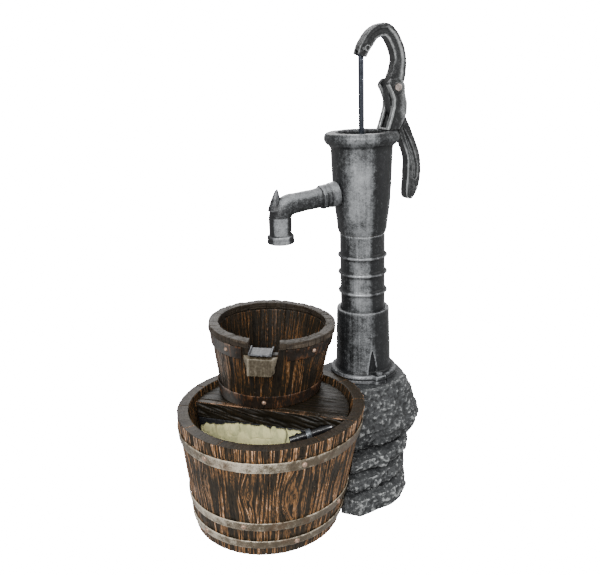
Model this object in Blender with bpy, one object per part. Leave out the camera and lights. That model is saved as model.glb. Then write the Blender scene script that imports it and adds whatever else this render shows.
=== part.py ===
"""Hand pump on a stacked-stone pedestal, with a small tub that spills into a low half-barrel tub.

Metres, +Z up. The origin is on the ground below the pump's axis. The spout points along -X and
the lever swings in the XZ plane.
"""
import math

import bmesh
import bpy
from mathutils import Matrix, Vector

# ---------------------------------------------------------------- driving dimensions
GAP = 0.0003                      # clearance between pieces that touch
SIDES = 48                        # facets round the tubs
PUMP_SIDES = 28                   # facets round the pump castings

LOW_CENTRE = Vector((-0.1935, -0.0495))
LOW_LEAN = Vector((-0.0125, 0.0062))     # how far the low tub's foot stands out from below its rim
LOW_TOP = 0.197
LOW_TOP_RADIUS = 0.149
LOW_FOOT_RADIUS = 0.119
LOW_WALL = 0.019
LOW_STAVES = 12
LOW_HOOPS = ((0.158, 0.175), (0.050, 0.0645), (0.016, 0.0295))

SMALL_CENTRE = Vector((-0.159, 0.021))
SMALL_LEAN = Vector((-0.0074, 0.0033))
SMALL_TIP = 0.055                 # the small tub's rim slopes this much down along TIP_WAY
TIP_WAY = Vector((0.92, -0.39))
SMALL_FOOT = 0.1879
SMALL_WALL_TOP = 0.2955
SMALL_RIM_TOP = 0.3075
SMALL_TOP_RADIUS = 0.101
SMALL_FOOT_RADIUS = 0.083
SMALL_RIM_RADIUS = 0.105
SMALL_WALL = 0.013
SMALL_STAVES = 8
SMALL_HOOPS = ((0.1885, 0.211), (0.274, 0.2952))
HOOP_THICK = 0.0022

DECK_TOP = 0.1876
DECK_THICK = 0.009
BEAM_FOOT = 0.160
BEAM_THICK = 0.012
BOARD_THICK = 0.008
BOARD_SETBACK = 0.0015
DECK_ANGLE = math.radians(-41.4)  # direction of the deck's front edge
DECK_FORWARD = 0.0115             # how far the edge lies in front of the tub's centre

SPILL_ANGLE = math.radians(241.0)
NOTCH_WIDTH = 0.046
NOTCH_FOOT = 0.2865
CHUTE_WIDTH = 0.0362
CHUTE_SHIFT = -0.0042             # the chute sits to one side of the notch

PEDESTAL_TOP = 0.190
FLANGE_RADIUS = 0.0565
FLANGE_TOP = 0.204
SLEEVE_TOP = 0.3115
COLUMN_RADIUS = 0.0372
COLUMN_BORE = 0.0342
COLUMN_RINGS = (0.342, 0.374, 0.403)
BODY_FOOT = 0.440
LIP_TOP = 0.603
LIP_RADIUS = 0.060
MOUTH_RADIUS = 0.0396

SPOUT_Z = 0.5065                  # height of the arm's axis at the collar
SPOUT_X = -0.0645
SPOUT_SLOPE = 0.10
NOZZLE_X = -0.1447
NOZZLE_FOOT = 0.440
PORT_RADIUS = 0.0115

FULCRUM = Vector((0.055, 0.0, 0.668))
HOOK_PIN = Vector((0.0, 0.0, 0.727))
LEVER_THICK = 0.018
FORK_WIDTH = 0.036
FORK_GAP = 0.022
FORK_FLOOR = 0.6063
BOLT_RADIUS = 0.004
PIN_RADIUS = 0.0025
ROD_RADIUS = 0.0045
ROD_FOOT = 0.466

LINER_FOOT = 0.3603
LINER_TOP = 0.470
LINER_BORE = 0.0312
PLUNGER_FOOT = 0.452
SEAT_FOOT = 0.352
FLAP_HINGE = Vector((0.0145, 0.0, 0.3615))

PIPE_RADIUS = 0.0065
PIPE_BORE = 0.0045
RISER_BEND = 0.150                # height of the riser's level run
PIPE_MOUTH = Vector((-0.187, -0.107, 0.155))
PIPE_EXIT = Vector((-0.128, -0.120, 0.168))


# ---------------------------------------------------------------- scene and helpers
for old in list(bpy.data.objects):
    bpy.data.objects.remove(old, do_unlink=True)


def material(name, colour, roughness, metallic):
    made = bpy.data.materials.new(name)
    made.use_nodes = True
    shader = made.node_tree.nodes["Principled BSDF"]
    shader.inputs["Base Color"].default_value = (*colour, 1.0)
    shader.inputs["Roughness"].default_value = roughness
    shader.inputs["Metallic"].default_value = metallic
    return made


IRON = material("cast_iron", (0.09, 0.09, 0.10), 0.45, 0.8)
STEEL = material("rod_steel", (0.16, 0.18, 0.22), 0.35, 0.9)
BOLT_STEEL = material("bolt_steel", (0.45, 0.43, 0.40), 0.45, 0.8)
BRASS = material("brass", (0.55, 0.42, 0.18), 0.35, 0.9)
LEATHER = material("leather", (0.20, 0.11, 0.06), 0.7, 0.0)
BLACK_PIPE = material("black_pipe", (0.015, 0.015, 0.017), 0.25, 0.0)
OAK = material("oak_stave", (0.14, 0.08, 0.05), 0.6, 0.0)
RIM_WOOD = material("rim_wood", (0.25, 0.19, 0.14), 0.65, 0.0)
CREAM = material("cream_board", (0.72, 0.66, 0.42), 0.7, 0.0)
HOOP_METAL = material("hoop_metal", (0.24, 0.20, 0.15), 0.5, 0.5)
STONE = material("stone", (0.12, 0.12, 0.12), 0.8, 0.0)


def finish_mesh(bm, name, look):
    """Turn a bmesh into a named, smooth-shaded object."""
    bmesh.ops.recalc_face_normals(bm, faces=bm.faces)
    mesh = bpy.data.meshes.new(name)
    bm.to_mesh(mesh)
    bm.free()
    mesh.shade_smooth()
    mesh.set_sharp_from_angle(angle=math.radians(35))
    made = bpy.data.objects.new(name, mesh)
    bpy.context.scene.collection.objects.link(made)
    if look is not None:
        mesh.materials.append(look)
    return made


def ring_points(radius, sides, turn=0.0):
    step = 2 * math.pi / sides
    return [(radius * math.cos(turn + i * step), radius * math.sin(turn + i * step)) for i in range(sides)]


def pump_axis(z):
    return Vector((0.0, 0.0))


def turned(name, profile, look, sides=PUMP_SIDES, centre_at=pump_axis):
    """Revolve (radius, z) points about an upright or leaning axis. A profile that starts and ends
    on the axis makes a solid, and any other is closed into a ring."""
    bm = bmesh.new()
    rows = []
    for radius, z in profile:
        centre = centre_at(z)
        if radius == 0.0:
            rows.append([bm.verts.new((centre.x, centre.y, z))])
        else:
            row = [bm.verts.new((centre.x + x, centre.y + y, z)) for x, y in ring_points(radius, sides)]
            rows.append(row)
    solid = profile[0][0] == 0.0
    pairs = list(zip(rows, rows[1:]))
    if not solid:
        pairs.append((rows[-1], rows[0]))
    for lower, upper in pairs:
        for i in range(sides):
            j = (i + 1) % sides
            corners = [lower[i % len(lower)], lower[j % len(lower)], upper[j % len(upper)], upper[i % len(upper)]]
            bm.faces.new(list(dict.fromkeys(corners)))
    return finish_mesh(bm, name, look)


def loft(name, lower, z0, upper, z1, look):
    """Join two outlines with the same number of points at two heights."""
    bm = bmesh.new()
    feet = [bm.verts.new((x, y, z0)) for x, y in lower]
    tops = [bm.verts.new((x, y, z1)) for x, y in upper]
    bm.faces.new(feet)
    bm.faces.new(tops)
    for i in range(len(feet)):
        j = (i + 1) % len(feet)
        bm.faces.new([feet[i], feet[j], tops[j], tops[i]])
    return finish_mesh(bm, name, look)


def side_plate(name, outline, half_width, look):
    """Extrude an (x, z) outline along Y, the same to both sides."""
    bm = bmesh.new()
    near = [bm.verts.new((x, -half_width, z)) for x, z in outline]
    far = [bm.verts.new((x, half_width, z)) for x, z in outline]
    bm.faces.new(near)
    bm.faces.new(far)
    for i in range(len(near)):
        j = (i + 1) % len(near)
        bm.faces.new([near[i], near[j], far[j], far[i]])
    return finish_mesh(bm, name, look)


def box(name, low, high, look=None):
    bm = bmesh.new()
    bmesh.ops.create_cube(bm, size=1.0)
    size = Vector(high) - Vector(low)
    middle = (Vector(high) + Vector(low)) / 2
    bmesh.ops.scale(bm, vec=size, verts=bm.verts)
    bmesh.ops.translate(bm, vec=middle, verts=bm.verts)
    return finish_mesh(bm, name, look)


def rod_between(name, start, end, radius, look=None, sides=24):
    """A plain round bar from one point to another."""
    start = Vector(start)
    axis = Vector(end) - start
    bm = bmesh.new()
    bmesh.ops.create_cone(bm, cap_ends=True, segments=sides, radius1=radius, radius2=radius, depth=axis.length)
    turn = Vector((0, 0, 1)).rotation_difference(axis).to_matrix().to_4x4()
    place = Matrix.Translation(start + axis / 2) @ turn
    bmesh.ops.transform(bm, matrix=place, verts=bm.verts)
    return finish_mesh(bm, name, look)


def smooth_path(points, steps):
    """Catmull-Rom curve through the given vectors."""
    padded = [points[0] * 2 - points[1]] + list(points) + [points[-1] * 2 - points[-2]]
    out = []
    for a, b, c, d in zip(padded, padded[1:], padded[2:], padded[3:]):
        for k in range(steps):
            t = k / steps
            lead = b * 2 + (c - a) * t
            bend = (a * 2 - b * 5 + c * 4 - d) * t * t + (b * 3 - a - c * 3 + d) * t ** 3
            out.append((lead + bend) / 2)
    out.append(points[-1].copy())
    return out


def path_rings(bm, path, radii, sides):
    """Rings of vertices square to a path, carried along it without twist."""
    side = Vector((0.1, 1, 0))
    rings = []
    for i, point in enumerate(path):
        ahead = (path[min(i + 1, len(path) - 1)] - path[max(i - 1, 0)]).normalized()
        side = (side - ahead * side.dot(ahead)).normalized()
        other = ahead.cross(side)
        rings.append([bm.verts.new(point + side * x + other * y) for x, y in ring_points(radii[i], sides)])
    return rings


def skin(bm, rings):
    for lower, upper in zip(rings, rings[1:]):
        for k in range(len(lower)):
            m = (k + 1) % len(lower)
            bm.faces.new([lower[k], lower[m], upper[m], upper[k]])


def tube(name, path, outer, inner, look, sides=16):
    """A hollow pipe along a path, with an outer and an inner radius at each point."""
    bm = bmesh.new()
    loops = path_rings(bm, path, outer, sides) + path_rings(bm, path, inner, sides)[::-1]
    skin(bm, loops + loops[:1])
    return finish_mesh(bm, name, look)


def solid_sweep(name, path, radius, sides=20):
    """A solid round bar along a path, used as a cutter."""
    bm = bmesh.new()
    rings = path_rings(bm, path, [radius] * len(path), sides)
    skin(bm, rings)
    bm.faces.new(rings[0])
    bm.faces.new(rings[-1])
    return finish_mesh(bm, name, None)


def combine(target, tool, operation="DIFFERENCE"):
    """Cut or join with another object, which stays hidden as a guide."""
    step = target.modifiers.new(tool.name, "BOOLEAN")
    step.operation = operation
    step.solver = "EXACT"
    step.object = tool
    tool.hide_render = True
    tool.display_type = "WIRE"


def joint_empty(name, place):
    made = bpy.data.objects.new(name, None)
    made.location = place
    made.empty_display_size = 0.02
    bpy.context.scene.collection.objects.link(made)
    return made


def hang_on(empty, *pieces):
    """Parent pieces to a joint's empty without moving them."""
    for piece in pieces:
        piece.parent = empty
        piece.location = piece.location - empty.location


# ---------------------------------------------------------------- tubs
def low_radius(z):
    return LOW_FOOT_RADIUS + (LOW_TOP_RADIUS - LOW_FOOT_RADIUS) * z / LOW_TOP


def low_centre(z):
    return LOW_CENTRE + LOW_LEAN * (1 - z / LOW_TOP)


def small_share(z):
    return (z - SMALL_FOOT) / (SMALL_WALL_TOP - SMALL_FOOT)


def small_radius(z):
    return SMALL_FOOT_RADIUS + (SMALL_TOP_RADIUS - SMALL_FOOT_RADIUS) * small_share(z)


def small_centre(z):
    return SMALL_CENTRE + SMALL_LEAN * (1 - small_share(z))


def small_foot_centre(z):
    return small_centre(SMALL_FOOT)


def tip(*pieces):
    """Slope the small tub's pieces: level at the foot, and most at the rim."""
    for piece in pieces:
        for vertex in piece.data.vertices:
            share = max(small_share(vertex.co.z), 0.0)
            across = (vertex.co.xy - SMALL_CENTRE).dot(TIP_WAY)
            vertex.co.z -= SMALL_TIP * min(share, 1.2) * across


def stave(name, centre_at, index, count, foot, top, radius_at, wall):
    """One leaning stave: a sector of the tub's wall."""
    facets = SIDES // count
    step = 2 * math.pi / SIDES
    first = (index * facets + 1) * step

    def outline(z):
        trim = GAP / 2 / radius_at(z)
        angles = [first + k * step for k in range(facets + 1)]
        angles[0] += trim
        angles[-1] -= trim
        centre = centre_at(z)
        points = [(centre.x + radius_at(z) * math.cos(a), centre.y + radius_at(z) * math.sin(a)) for a in angles]
        inner = radius_at(z) - wall
        points += [(centre.x + inner * math.cos(a), centre.y + inner * math.sin(a)) for a in reversed(angles)]
        return points

    return loft(name, outline(foot), foot, outline(top), top, OAK)


def hoop(name, centre_at, foot, top, radius_at):
    profile = [
        (radius_at(foot) + GAP, foot),
        (radius_at(foot) + GAP + HOOP_THICK, foot),
        (radius_at(top) + GAP + HOOP_THICK, top),
        (radius_at(top) + GAP, top),
    ]
    return turned(name, profile, HOOP_METAL, SIDES, centre_at)


def tub_floor(name, centre_at, foot, top, radius_at, wall):
    profile = [(0.0, foot)]
    profile.append((radius_at(foot) - wall - 2 * GAP, foot))
    profile.append((radius_at(top) - wall - 2 * GAP, top))
    profile.append((0.0, top))
    return turned(name, profile, OAK, SIDES, centre_at)


def drum_cutter():
    """The room that the small tub's foot needs above the level of the deck."""
    reach = SMALL_FOOT_RADIUS + 0.0062
    drum = [(0.0, DECK_TOP), (reach, DECK_TOP), (reach, 0.25), (0.0, 0.25)]
    return turned("drum_space_cutter", drum, None, SIDES, small_foot_centre)


def low_tub(room):
    """Staves, floor and hoops. The rear staves are notched to seat the small tub's foot."""
    staves = []
    towards = SMALL_CENTRE - LOW_CENTRE
    for index in range(LOW_STAVES):
        name = f"low_stave_{index + 1:02d}"
        piece = stave(name, low_centre, index, LOW_STAVES, 0.0, LOW_TOP, low_radius, LOW_WALL)
        staves.append(piece)
        turn = (index + 0.75) * 2 * math.pi / LOW_STAVES - math.atan2(towards.y, towards.x)
        if math.cos(turn) > math.cos(math.radians(60)):
            combine(piece, room)
    tub_floor("low_floor", low_centre, 0.012, 0.022, low_radius, LOW_WALL)
    for number, (foot, top) in enumerate(LOW_HOOPS, 1):
        hoop(f"low_hoop_{number}", low_centre, foot, top, low_radius)
    return staves


def deck_strip(front, back, z):
    """Four corners of a strip across the low tub, between two distances in front of its centre."""
    along = Vector((math.cos(DECK_ANGLE), math.sin(DECK_ANGLE)))
    ahead = Vector((along.y, -along.x))
    centre = low_centre(z)
    radius = low_radius(z) - LOW_WALL - 0.0006
    corners = []
    for distance, sign in ((front, -1), (front, 1), (back, 1), (back, -1)):
        out = distance + (LOW_CENTRE - centre).dot(ahead)
        half = math.sqrt(radius ** 2 - out ** 2)
        corners.append(centre + ahead * out + along * sign * half)
    return [(p.x, p.y) for p in corners]


def deck():
    """Beam, deck board behind it and partition board below it."""
    beam_back = DECK_FORWARD - BEAM_THICK
    beam = loft("deck_beam", deck_strip(DECK_FORWARD, beam_back, BEAM_FOOT), BEAM_FOOT,
                deck_strip(DECK_FORWARD, beam_back, DECK_TOP), DECK_TOP, OAK)
    front = DECK_FORWARD - BOARD_SETBACK
    back = front - BOARD_THICK
    foot = 0.0223
    top = BEAM_FOOT - GAP
    board = loft("partition_board", deck_strip(front, back, foot), foot,
                 deck_strip(front, back, top), top, CREAM)

    board_foot = DECK_TOP - DECK_THICK
    centre = low_centre(board_foot)
    radius = low_radius(board_foot) - LOW_WALL - 0.0009
    ahead_angle = DECK_ANGLE - math.pi / 2
    ahead = Vector((math.cos(ahead_angle), math.sin(ahead_angle)))
    edge = beam_back - 2 * GAP + (LOW_CENTRE - centre).dot(ahead)
    half_turn = math.acos(edge / radius)
    outline = []
    arc_steps = 30
    for k in range(arc_steps + 1):
        angle = ahead_angle + half_turn + (2 * math.pi - 2 * half_turn) * k / arc_steps
        outline.append((centre.x + radius * math.cos(angle), centre.y + radius * math.sin(angle)))
    loft("deck_board", outline, board_foot, outline, DECK_TOP, OAK)
    return beam, board


def spill_frame(distance, sideways, z):
    """World point at a distance out from the small tub's axis along the spillway."""
    out = Vector((math.cos(SPILL_ANGLE), math.sin(SPILL_ANGLE)))
    across = Vector((-out.y, out.x))
    flat = small_centre(z) + out * distance + across * sideways
    return Vector((flat.x, flat.y, z))


def spill_block(name, near, far, look):
    """A block between two rectangles given as (distance, half_low, half_high, z_low, z_high, shift)."""
    bm = bmesh.new()
    rows = []
    for distance, half_low, half_high, z_low, z_high, shift in (near, far):
        corners = ((-half_low, z_low), (half_low, z_low), (half_high, z_high), (-half_high, z_high))
        rows.append([bm.verts.new(spill_frame(distance, s + shift, z)) for s, z in corners])
    bm.faces.new(rows[0])
    bm.faces.new(rows[1])
    for i in range(4):
        j = (i + 1) % 4
        bm.faces.new([rows[0][i], rows[0][j], rows[1][j], rows[1][i]])
    return finish_mesh(bm, name, look)


def small_tub():
    half = NOTCH_WIDTH / 2
    notch = spill_block("notch_cutter", (0.060, half, half, NOTCH_FOOT, 0.320, 0.0),
                        (0.125, half, half, NOTCH_FOOT, 0.320, 0.0), None)
    staves = []
    for index in range(SMALL_STAVES):
        name = f"small_stave_{index + 1}"
        piece = stave(name, small_centre, index, SMALL_STAVES, SMALL_FOOT, SMALL_WALL_TOP, small_radius, SMALL_WALL)
        staves.append(piece)
    floor = tub_floor("small_floor", small_centre, 0.196, 0.204, small_radius, SMALL_WALL)
    inner = SMALL_TOP_RADIUS - SMALL_WALL
    profile = [
        (inner, SMALL_WALL_TOP + GAP),
        (SMALL_RIM_RADIUS, SMALL_WALL_TOP + GAP),
        (SMALL_RIM_RADIUS, SMALL_RIM_TOP),
        (inner, SMALL_RIM_TOP),
    ]
    rim = turned("small_rim", profile, RIM_WOOD, SIDES, small_centre)
    combine(rim, notch)
    lower = hoop("small_hoop_lower", small_centre, *SMALL_HOOPS[0], small_radius)
    upper = hoop("small_hoop_upper", small_centre, *SMALL_HOOPS[1], small_radius)
    relief = spill_block("hoop_cutter", (0.080, 0.034, 0.034, 0.240, 0.320, 0.0),
                         (0.125, 0.034, 0.034, 0.240, 0.320, 0.0), None)
    combine(upper, relief)
    for piece, middle in zip(staves, range(SMALL_STAVES)):
        turn = (middle + 0.5) * 2 * math.pi / SMALL_STAVES + 2 * math.pi / SIDES - SPILL_ANGLE
        if math.cos(turn) > math.cos(math.radians(45)):
            combine(piece, notch)

    chute_half = CHUTE_WIDTH / 2
    chute = spill_block("spillway_chute",
                        (0.080, chute_half, chute_half, NOTCH_FOOT + GAP + 0.001, 0.2990, CHUTE_SHIFT),
                        (0.108, chute_half, chute_half, NOTCH_FOOT + GAP, 0.2975, CHUTE_SHIFT), OAK)
    channel = chute_half - 0.0025
    trough = spill_block("chute_cutter",
                         (0.070, channel, channel, NOTCH_FOOT + 0.0044, 0.310, CHUTE_SHIFT),
                         (0.115, channel, channel, NOTCH_FOOT + 0.0028, 0.310, CHUTE_SHIFT), None)
    combine(chute, trough)

    lip = spill_block("spillway_lip", (0.085, 0.024, 0.032, 0.254, 0.2835, -0.004),
                      (0.1110, 0.0185, 0.0195, 0.255, 0.2835, -0.004), OAK)
    bark = [(0.0, 0.235), (small_radius(0.235) + GAP, 0.235), (small_radius(0.290) + GAP, 0.290), (0.0, 0.290)]
    wall = turned("lip_cutter", bark, None, SIDES, small_centre)
    combine(lip, wall)
    tip(*staves, floor, rim, lower, upper, chute, lip, notch, relief, trough, wall)


# ---------------------------------------------------------------- pedestal
STONES = {
    # foot, top, (height share, scale) of each ring, and the outline of the widest ring
    "stone_top": (0.0863, PEDESTAL_TOP, (
        (0.0, 0.80), (0.08, 0.90), (0.20, 0.97), (0.38, 1.0), (0.58, 0.93), (0.82, 0.82), (0.94, 0.76),
        (1.0, 0.72)), (
        (-0.0780, -0.100), (-0.0450, -0.094), (-0.0100, -0.099), (0.0220, -0.094), (0.0500, -0.083),
        (0.0720, -0.066), (0.0880, -0.038), (0.0940, -0.002), (0.0900, 0.034), (0.0700, 0.066),
        (0.0360, 0.086), (-0.0100, 0.091), (-0.0520, 0.086), (-0.0860, 0.074), (-0.1200, 0.040),
        (-0.1200, -0.060))),
    "stone_upper": (0.0603, 0.0860, ((0.0, 0.86), (0.2, 0.97), (0.55, 1.0), (0.85, 0.95), (1.0, 0.88)), (
        (-0.0820, -0.112), (-0.0480, -0.110), (-0.0170, -0.110), (0.0080, -0.102), (0.0330, -0.087),
        (0.0530, -0.066), (0.0670, -0.036), (0.0710, 0.005), (0.0700, 0.038), (0.0570, 0.066),
        (0.0300, 0.080), (-0.0140, 0.086), (-0.0560, 0.084), (-0.0940, 0.070), (-0.1300, 0.040),
        (-0.1300, -0.060))),
    "stone_middle": (0.0323, 0.0600, ((0.0, 0.86), (0.2, 0.96), (0.5, 1.0), (0.85, 0.95), (1.0, 0.86)), (
        (-0.0800, -0.126), (-0.0470, -0.123), (-0.0180, -0.117), (0.0060, -0.108), (0.0280, -0.090),
        (0.0450, -0.068), (0.0570, -0.036), (0.0630, 0.001), (0.0630, 0.037), (0.0530, 0.065),
        (0.0280, 0.082), (-0.0180, 0.090), (-0.0620, 0.088), (-0.0980, 0.072), (-0.1400, 0.040),
        (-0.1400, -0.070))),
    "stone_foot": (0.0, 0.0320, ((0.0, 0.97), (0.25, 1.0), (0.55, 1.0), (0.85, 0.95), (1.0, 0.86)), (
        (-0.0820, -0.1385), (-0.0500, -0.1335), (-0.0180, -0.131), (0.0070, -0.119), (0.0260, -0.099),
        (0.0390, -0.075), (0.0510, -0.038), (0.0600, -0.001), (0.0590, 0.036), (0.0490, 0.067),
        (0.0240, 0.084), (-0.0220, 0.092), (-0.0660, 0.090), (-0.1040, 0.076), (-0.1400, 0.040),
        (-0.1400, -0.080))),
}


def stone(name, foot, top, draws, outline):
    """A rough block: its widest ring in the middle, drawn in at the top and bottom edges."""
    bm = bmesh.new()
    rows = []
    for share, scale in draws:
        z = foot + (top - foot) * share
        rows.append([bm.verts.new((x * scale, y * scale, z)) for x, y in outline])
    bm.faces.new(rows[0])
    bm.faces.new(rows[-1])
    for lower, upper in zip(rows, rows[1:]):
        for i in range(len(lower)):
            j = (i + 1) % len(lower)
            bm.faces.new([lower[i], lower[j], upper[j], upper[i]])
    return finish_mesh(bm, name, STONE)


def pedestal(room_for_drum):
    room = HOOP_THICK + 4 * GAP
    cone = [(0.0, -0.02), (low_radius(-0.02) + room, -0.02), (low_radius(0.23) + room, 0.23), (0.0, 0.23)]
    tub_space = turned("tub_space_cutter", cone, None, SIDES, low_centre)
    made = {}
    for name, sizes in STONES.items():
        made[name] = stone(name, *sizes)
        combine(made[name], tub_space)
    combine(made["stone_top"], room_for_drum)
    return made


# ---------------------------------------------------------------- pump castings
def pump_base():
    """Sleeve and flange in one casting, with a bolt lug at the front and the rear."""
    profile = [
        (PIPE_RADIUS + 0.0006, PEDESTAL_TOP + GAP),
        (FLANGE_RADIUS - 0.001, PEDESTAL_TOP + GAP),
        (FLANGE_RADIUS, PEDESTAL_TOP + 0.0015),
        (FLANGE_RADIUS, FLANGE_TOP - 0.003),
        (FLANGE_RADIUS - 0.0015, FLANGE_TOP),
        (0.0485, FLANGE_TOP),
        (0.0470, FLANGE_TOP + 0.003),
        (0.0444, SLEEVE_TOP - 0.004),
        (0.0438, SLEEVE_TOP),
        (COLUMN_RADIUS + GAP, SLEEVE_TOP),
        (COLUMN_RADIUS + GAP, FLANGE_TOP - 0.004),
        (PIPE_RADIUS + 0.0006, FLANGE_TOP - 0.004),
    ]
    base = turned("pump_base", profile, IRON)
    for sign, word in ((-1, "front"), (1, "rear")):
        outline = [(-0.012, sign * 0.047), (0.012, sign * 0.047), (0.009, sign * 0.0625), (-0.009, sign * 0.0625)]
        lug = loft(f"lug_{word}_guide", outline, PEDESTAL_TOP + GAP, outline, FLANGE_TOP + 0.001, IRON)
        combine(base, lug, "UNION")
    rim_room = [(0.0, 0.15), (LOW_TOP_RADIUS + 0.0008, 0.15), (LOW_TOP_RADIUS + 0.0008, 0.1978), (0.0, 0.1978)]
    combine(base, turned("rim_room_cutter", rim_room, None, SIDES, low_centre))
    for sign, word in ((-1, "front"), (1, "rear")):
        foot = FLANGE_TOP + 0.001 + GAP
        place = Vector((0.0, sign * 0.0565, foot))
        rod_between(f"base_bolt_{word}", place, place + Vector((0, 0, 0.0045)), 0.0052, BOLT_STEEL, 6)


def column_pipe():
    profile = [(COLUMN_BORE, FLANGE_TOP - 0.004 + GAP), (COLUMN_RADIUS, FLANGE_TOP - 0.004 + GAP)]
    for z in COLUMN_RINGS:
        profile += [(COLUMN_RADIUS, z - 0.0038), (COLUMN_RADIUS + 0.0038, z - 0.0012)]
        profile += [(COLUMN_RADIUS + 0.0038, z + 0.0012), (COLUMN_RADIUS, z + 0.0038)]
    profile += [(COLUMN_RADIUS, BODY_FOOT - GAP), (COLUMN_BORE, BODY_FOOT - GAP)]
    turned("column_pipe", profile, IRON)


BODY_OUTSIDE = [
    (0.0378, BODY_FOOT), (0.0392, 0.4435), (0.0406, 0.449), (0.0412, 0.458), (0.0432, 0.471), (0.0456, 0.492),
    (0.0474, 0.520), (0.0486, 0.548), (0.0494, 0.576), (0.0506, 0.5815), (0.0560, 0.5850), (LIP_RADIUS, 0.591),
    (LIP_RADIUS, 0.597), (0.0575, 0.6015), (0.0555, LIP_TOP),
]
BODY_INSIDE = [
    (0.0416, LIP_TOP), (MOUTH_RADIUS, 0.601), (MOUTH_RADIUS, 0.530), (0.0372, 0.486), (0.0346, 0.462),
    (0.0346, BODY_FOOT),
]


def arm_height(x):
    return SPOUT_Z + (x - SPOUT_X) * SPOUT_SLOPE


def arm_point(x):
    return Vector((x, 0.0, arm_height(x)))


def pump_body():
    body = turned("pump_body", BODY_OUTSIDE + BODY_INSIDE, IRON)
    port = rod_between("port_cutter", arm_point(-0.020), arm_point(-0.070), PORT_RADIUS, None, 16)
    combine(body, port)


def spout():
    """Collar, arm, elbow and nozzle swept as one pipe, with the horn joined to the elbow."""
    path = []
    outer = []
    inner = []

    def station(point, radius, bore):
        path.append(point)
        outer.append(radius)
        inner.append(bore)

    for x, radius in ((-0.036, 0.0206), (-0.052, 0.0203), (-0.0660, 0.0188), (-0.0735, 0.0190),
                      (-0.0752, 0.0182), (-0.0757, 0.0160), (-0.100, 0.0158), (-0.119, 0.0162)):
        station(arm_point(x), radius, PORT_RADIUS)
    bend = 0.0225
    start = arm_point(NOZZLE_X + bend)
    middle = start + Vector((0, 0, -bend))
    slope = math.atan(SPOUT_SLOPE)
    for k in range(7):
        turn = slope + (math.pi / 2 - slope) * k / 6
        point = middle + Vector((-math.sin(turn), 0, math.cos(turn))) * bend
        station(point, 0.0166 + 0.0015 * k / 6, PORT_RADIUS + 0.001 * k / 6)
    for z, radius in ((0.464, 0.0181), (0.4545, 0.0178), (0.4535, 0.0206), (0.4515, 0.0214),
                      (0.4435, 0.0214), (NOZZLE_FOOT, 0.0200)):
        station(Vector((path[-1].x, 0, z)), radius, 0.0127)
    made = tube("spout", path, outer, inner, IRON, 16)

    bm = bmesh.new()
    bmesh.ops.create_cone(bm, cap_ends=True, segments=16, radius1=0.0112, radius2=0.0012, depth=0.033)
    lean = Matrix.Rotation(math.radians(3), 4, "Y")
    bmesh.ops.transform(bm, matrix=Matrix.Translation((-0.1502, 0, 0.5087)) @ lean, verts=bm.verts)
    horn = finish_mesh(bm, "horn_guide", IRON)
    combine(made, horn, "UNION")
    bore_path = [arm_point(-0.100), arm_point(NOZZLE_X + bend)]
    for k in range(7):
        turn = slope + (math.pi / 2 - slope) * k / 6
        bore_path.append(middle + Vector((-math.sin(turn), 0, math.cos(turn))) * bend)
    bore_path.append(Vector((NOZZLE_X, 0, 0.460)))
    bore = solid_sweep("bore_cutter", bore_path, PORT_RADIUS + 0.0014)
    combine(made, bore)
    shell = [(0.0, 0.43)] + [(radius + GAP, z) for radius, z in BODY_OUTSIDE[1:9]] + [(0.0, 0.576)]
    shell[1] = (shell[1][0], 0.43)
    combine(made, turned("body_room_cutter", shell, None))


# ---------------------------------------------------------------- lever, post and rod
LEVER_LINE = [
    # x, z and width of the bar from the hook's tip to the end of the grip
    (-0.0020, 0.7165, 0.0160), (0.0022, 0.7268, 0.0182), (0.0088, 0.7357, 0.0192), (0.0172, 0.7465, 0.0192),
    (0.0290, 0.7527, 0.0196), (0.0412, 0.7535, 0.0202), (0.0508, 0.7460, 0.0200), (0.0583, 0.7340, 0.0208),
    (0.0633, 0.7218, 0.0210), (0.0655, 0.7087, 0.0216), (0.0632, 0.6895, 0.0250), (0.0570, 0.6690, 0.0275),
    (0.0572, 0.6450, 0.0240), (0.0615, 0.6300, 0.0215), (0.0680, 0.6150, 0.0204), (0.0740, 0.6028, 0.0212),
    (0.0807, 0.5858, 0.0232), (0.0883, 0.5688, 0.0234), (0.0922, 0.5532, 0.0246), (0.0929, 0.5400, 0.0256),
    (0.0920, 0.5202, 0.0256), (0.0889, 0.5050, 0.0225), (0.0862, 0.4940, 0.0165), (0.0850, 0.4875, 0.0080),
]
POST_OUTLINE = [
    (0.0365, LIP_TOP + GAP), (0.0405, 0.614), (0.0445, 0.626), (0.0480, 0.638), (0.0485, 0.649),
    (0.0440, 0.661), (0.0385, 0.6705), (0.0395, 0.6755), (0.0450, 0.6810), (0.0550, 0.6825),
    (0.0640, 0.6790), (0.0690, 0.6710), (0.0695, 0.6580), (0.0735, 0.6430), (0.0725, 0.6275),
    (0.0650, 0.6130), (0.0590, LIP_TOP + GAP),
]


def lever_outline():
    line = smooth_path([Vector(point) for point in LEVER_LINE], 2)
    left = []
    right = []
    for i, point in enumerate(line):
        ahead = line[min(i + 1, len(line) - 1)] - line[max(i - 1, 0)]
        normal = Vector((-ahead.y, ahead.x)).normalized()
        left.append((point.x + normal.x * point.z / 2, point.y + normal.y * point.z / 2))
        right.append((point.x - normal.x * point.z / 2, point.y - normal.y * point.z / 2))
    return left + right[::-1]


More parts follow.
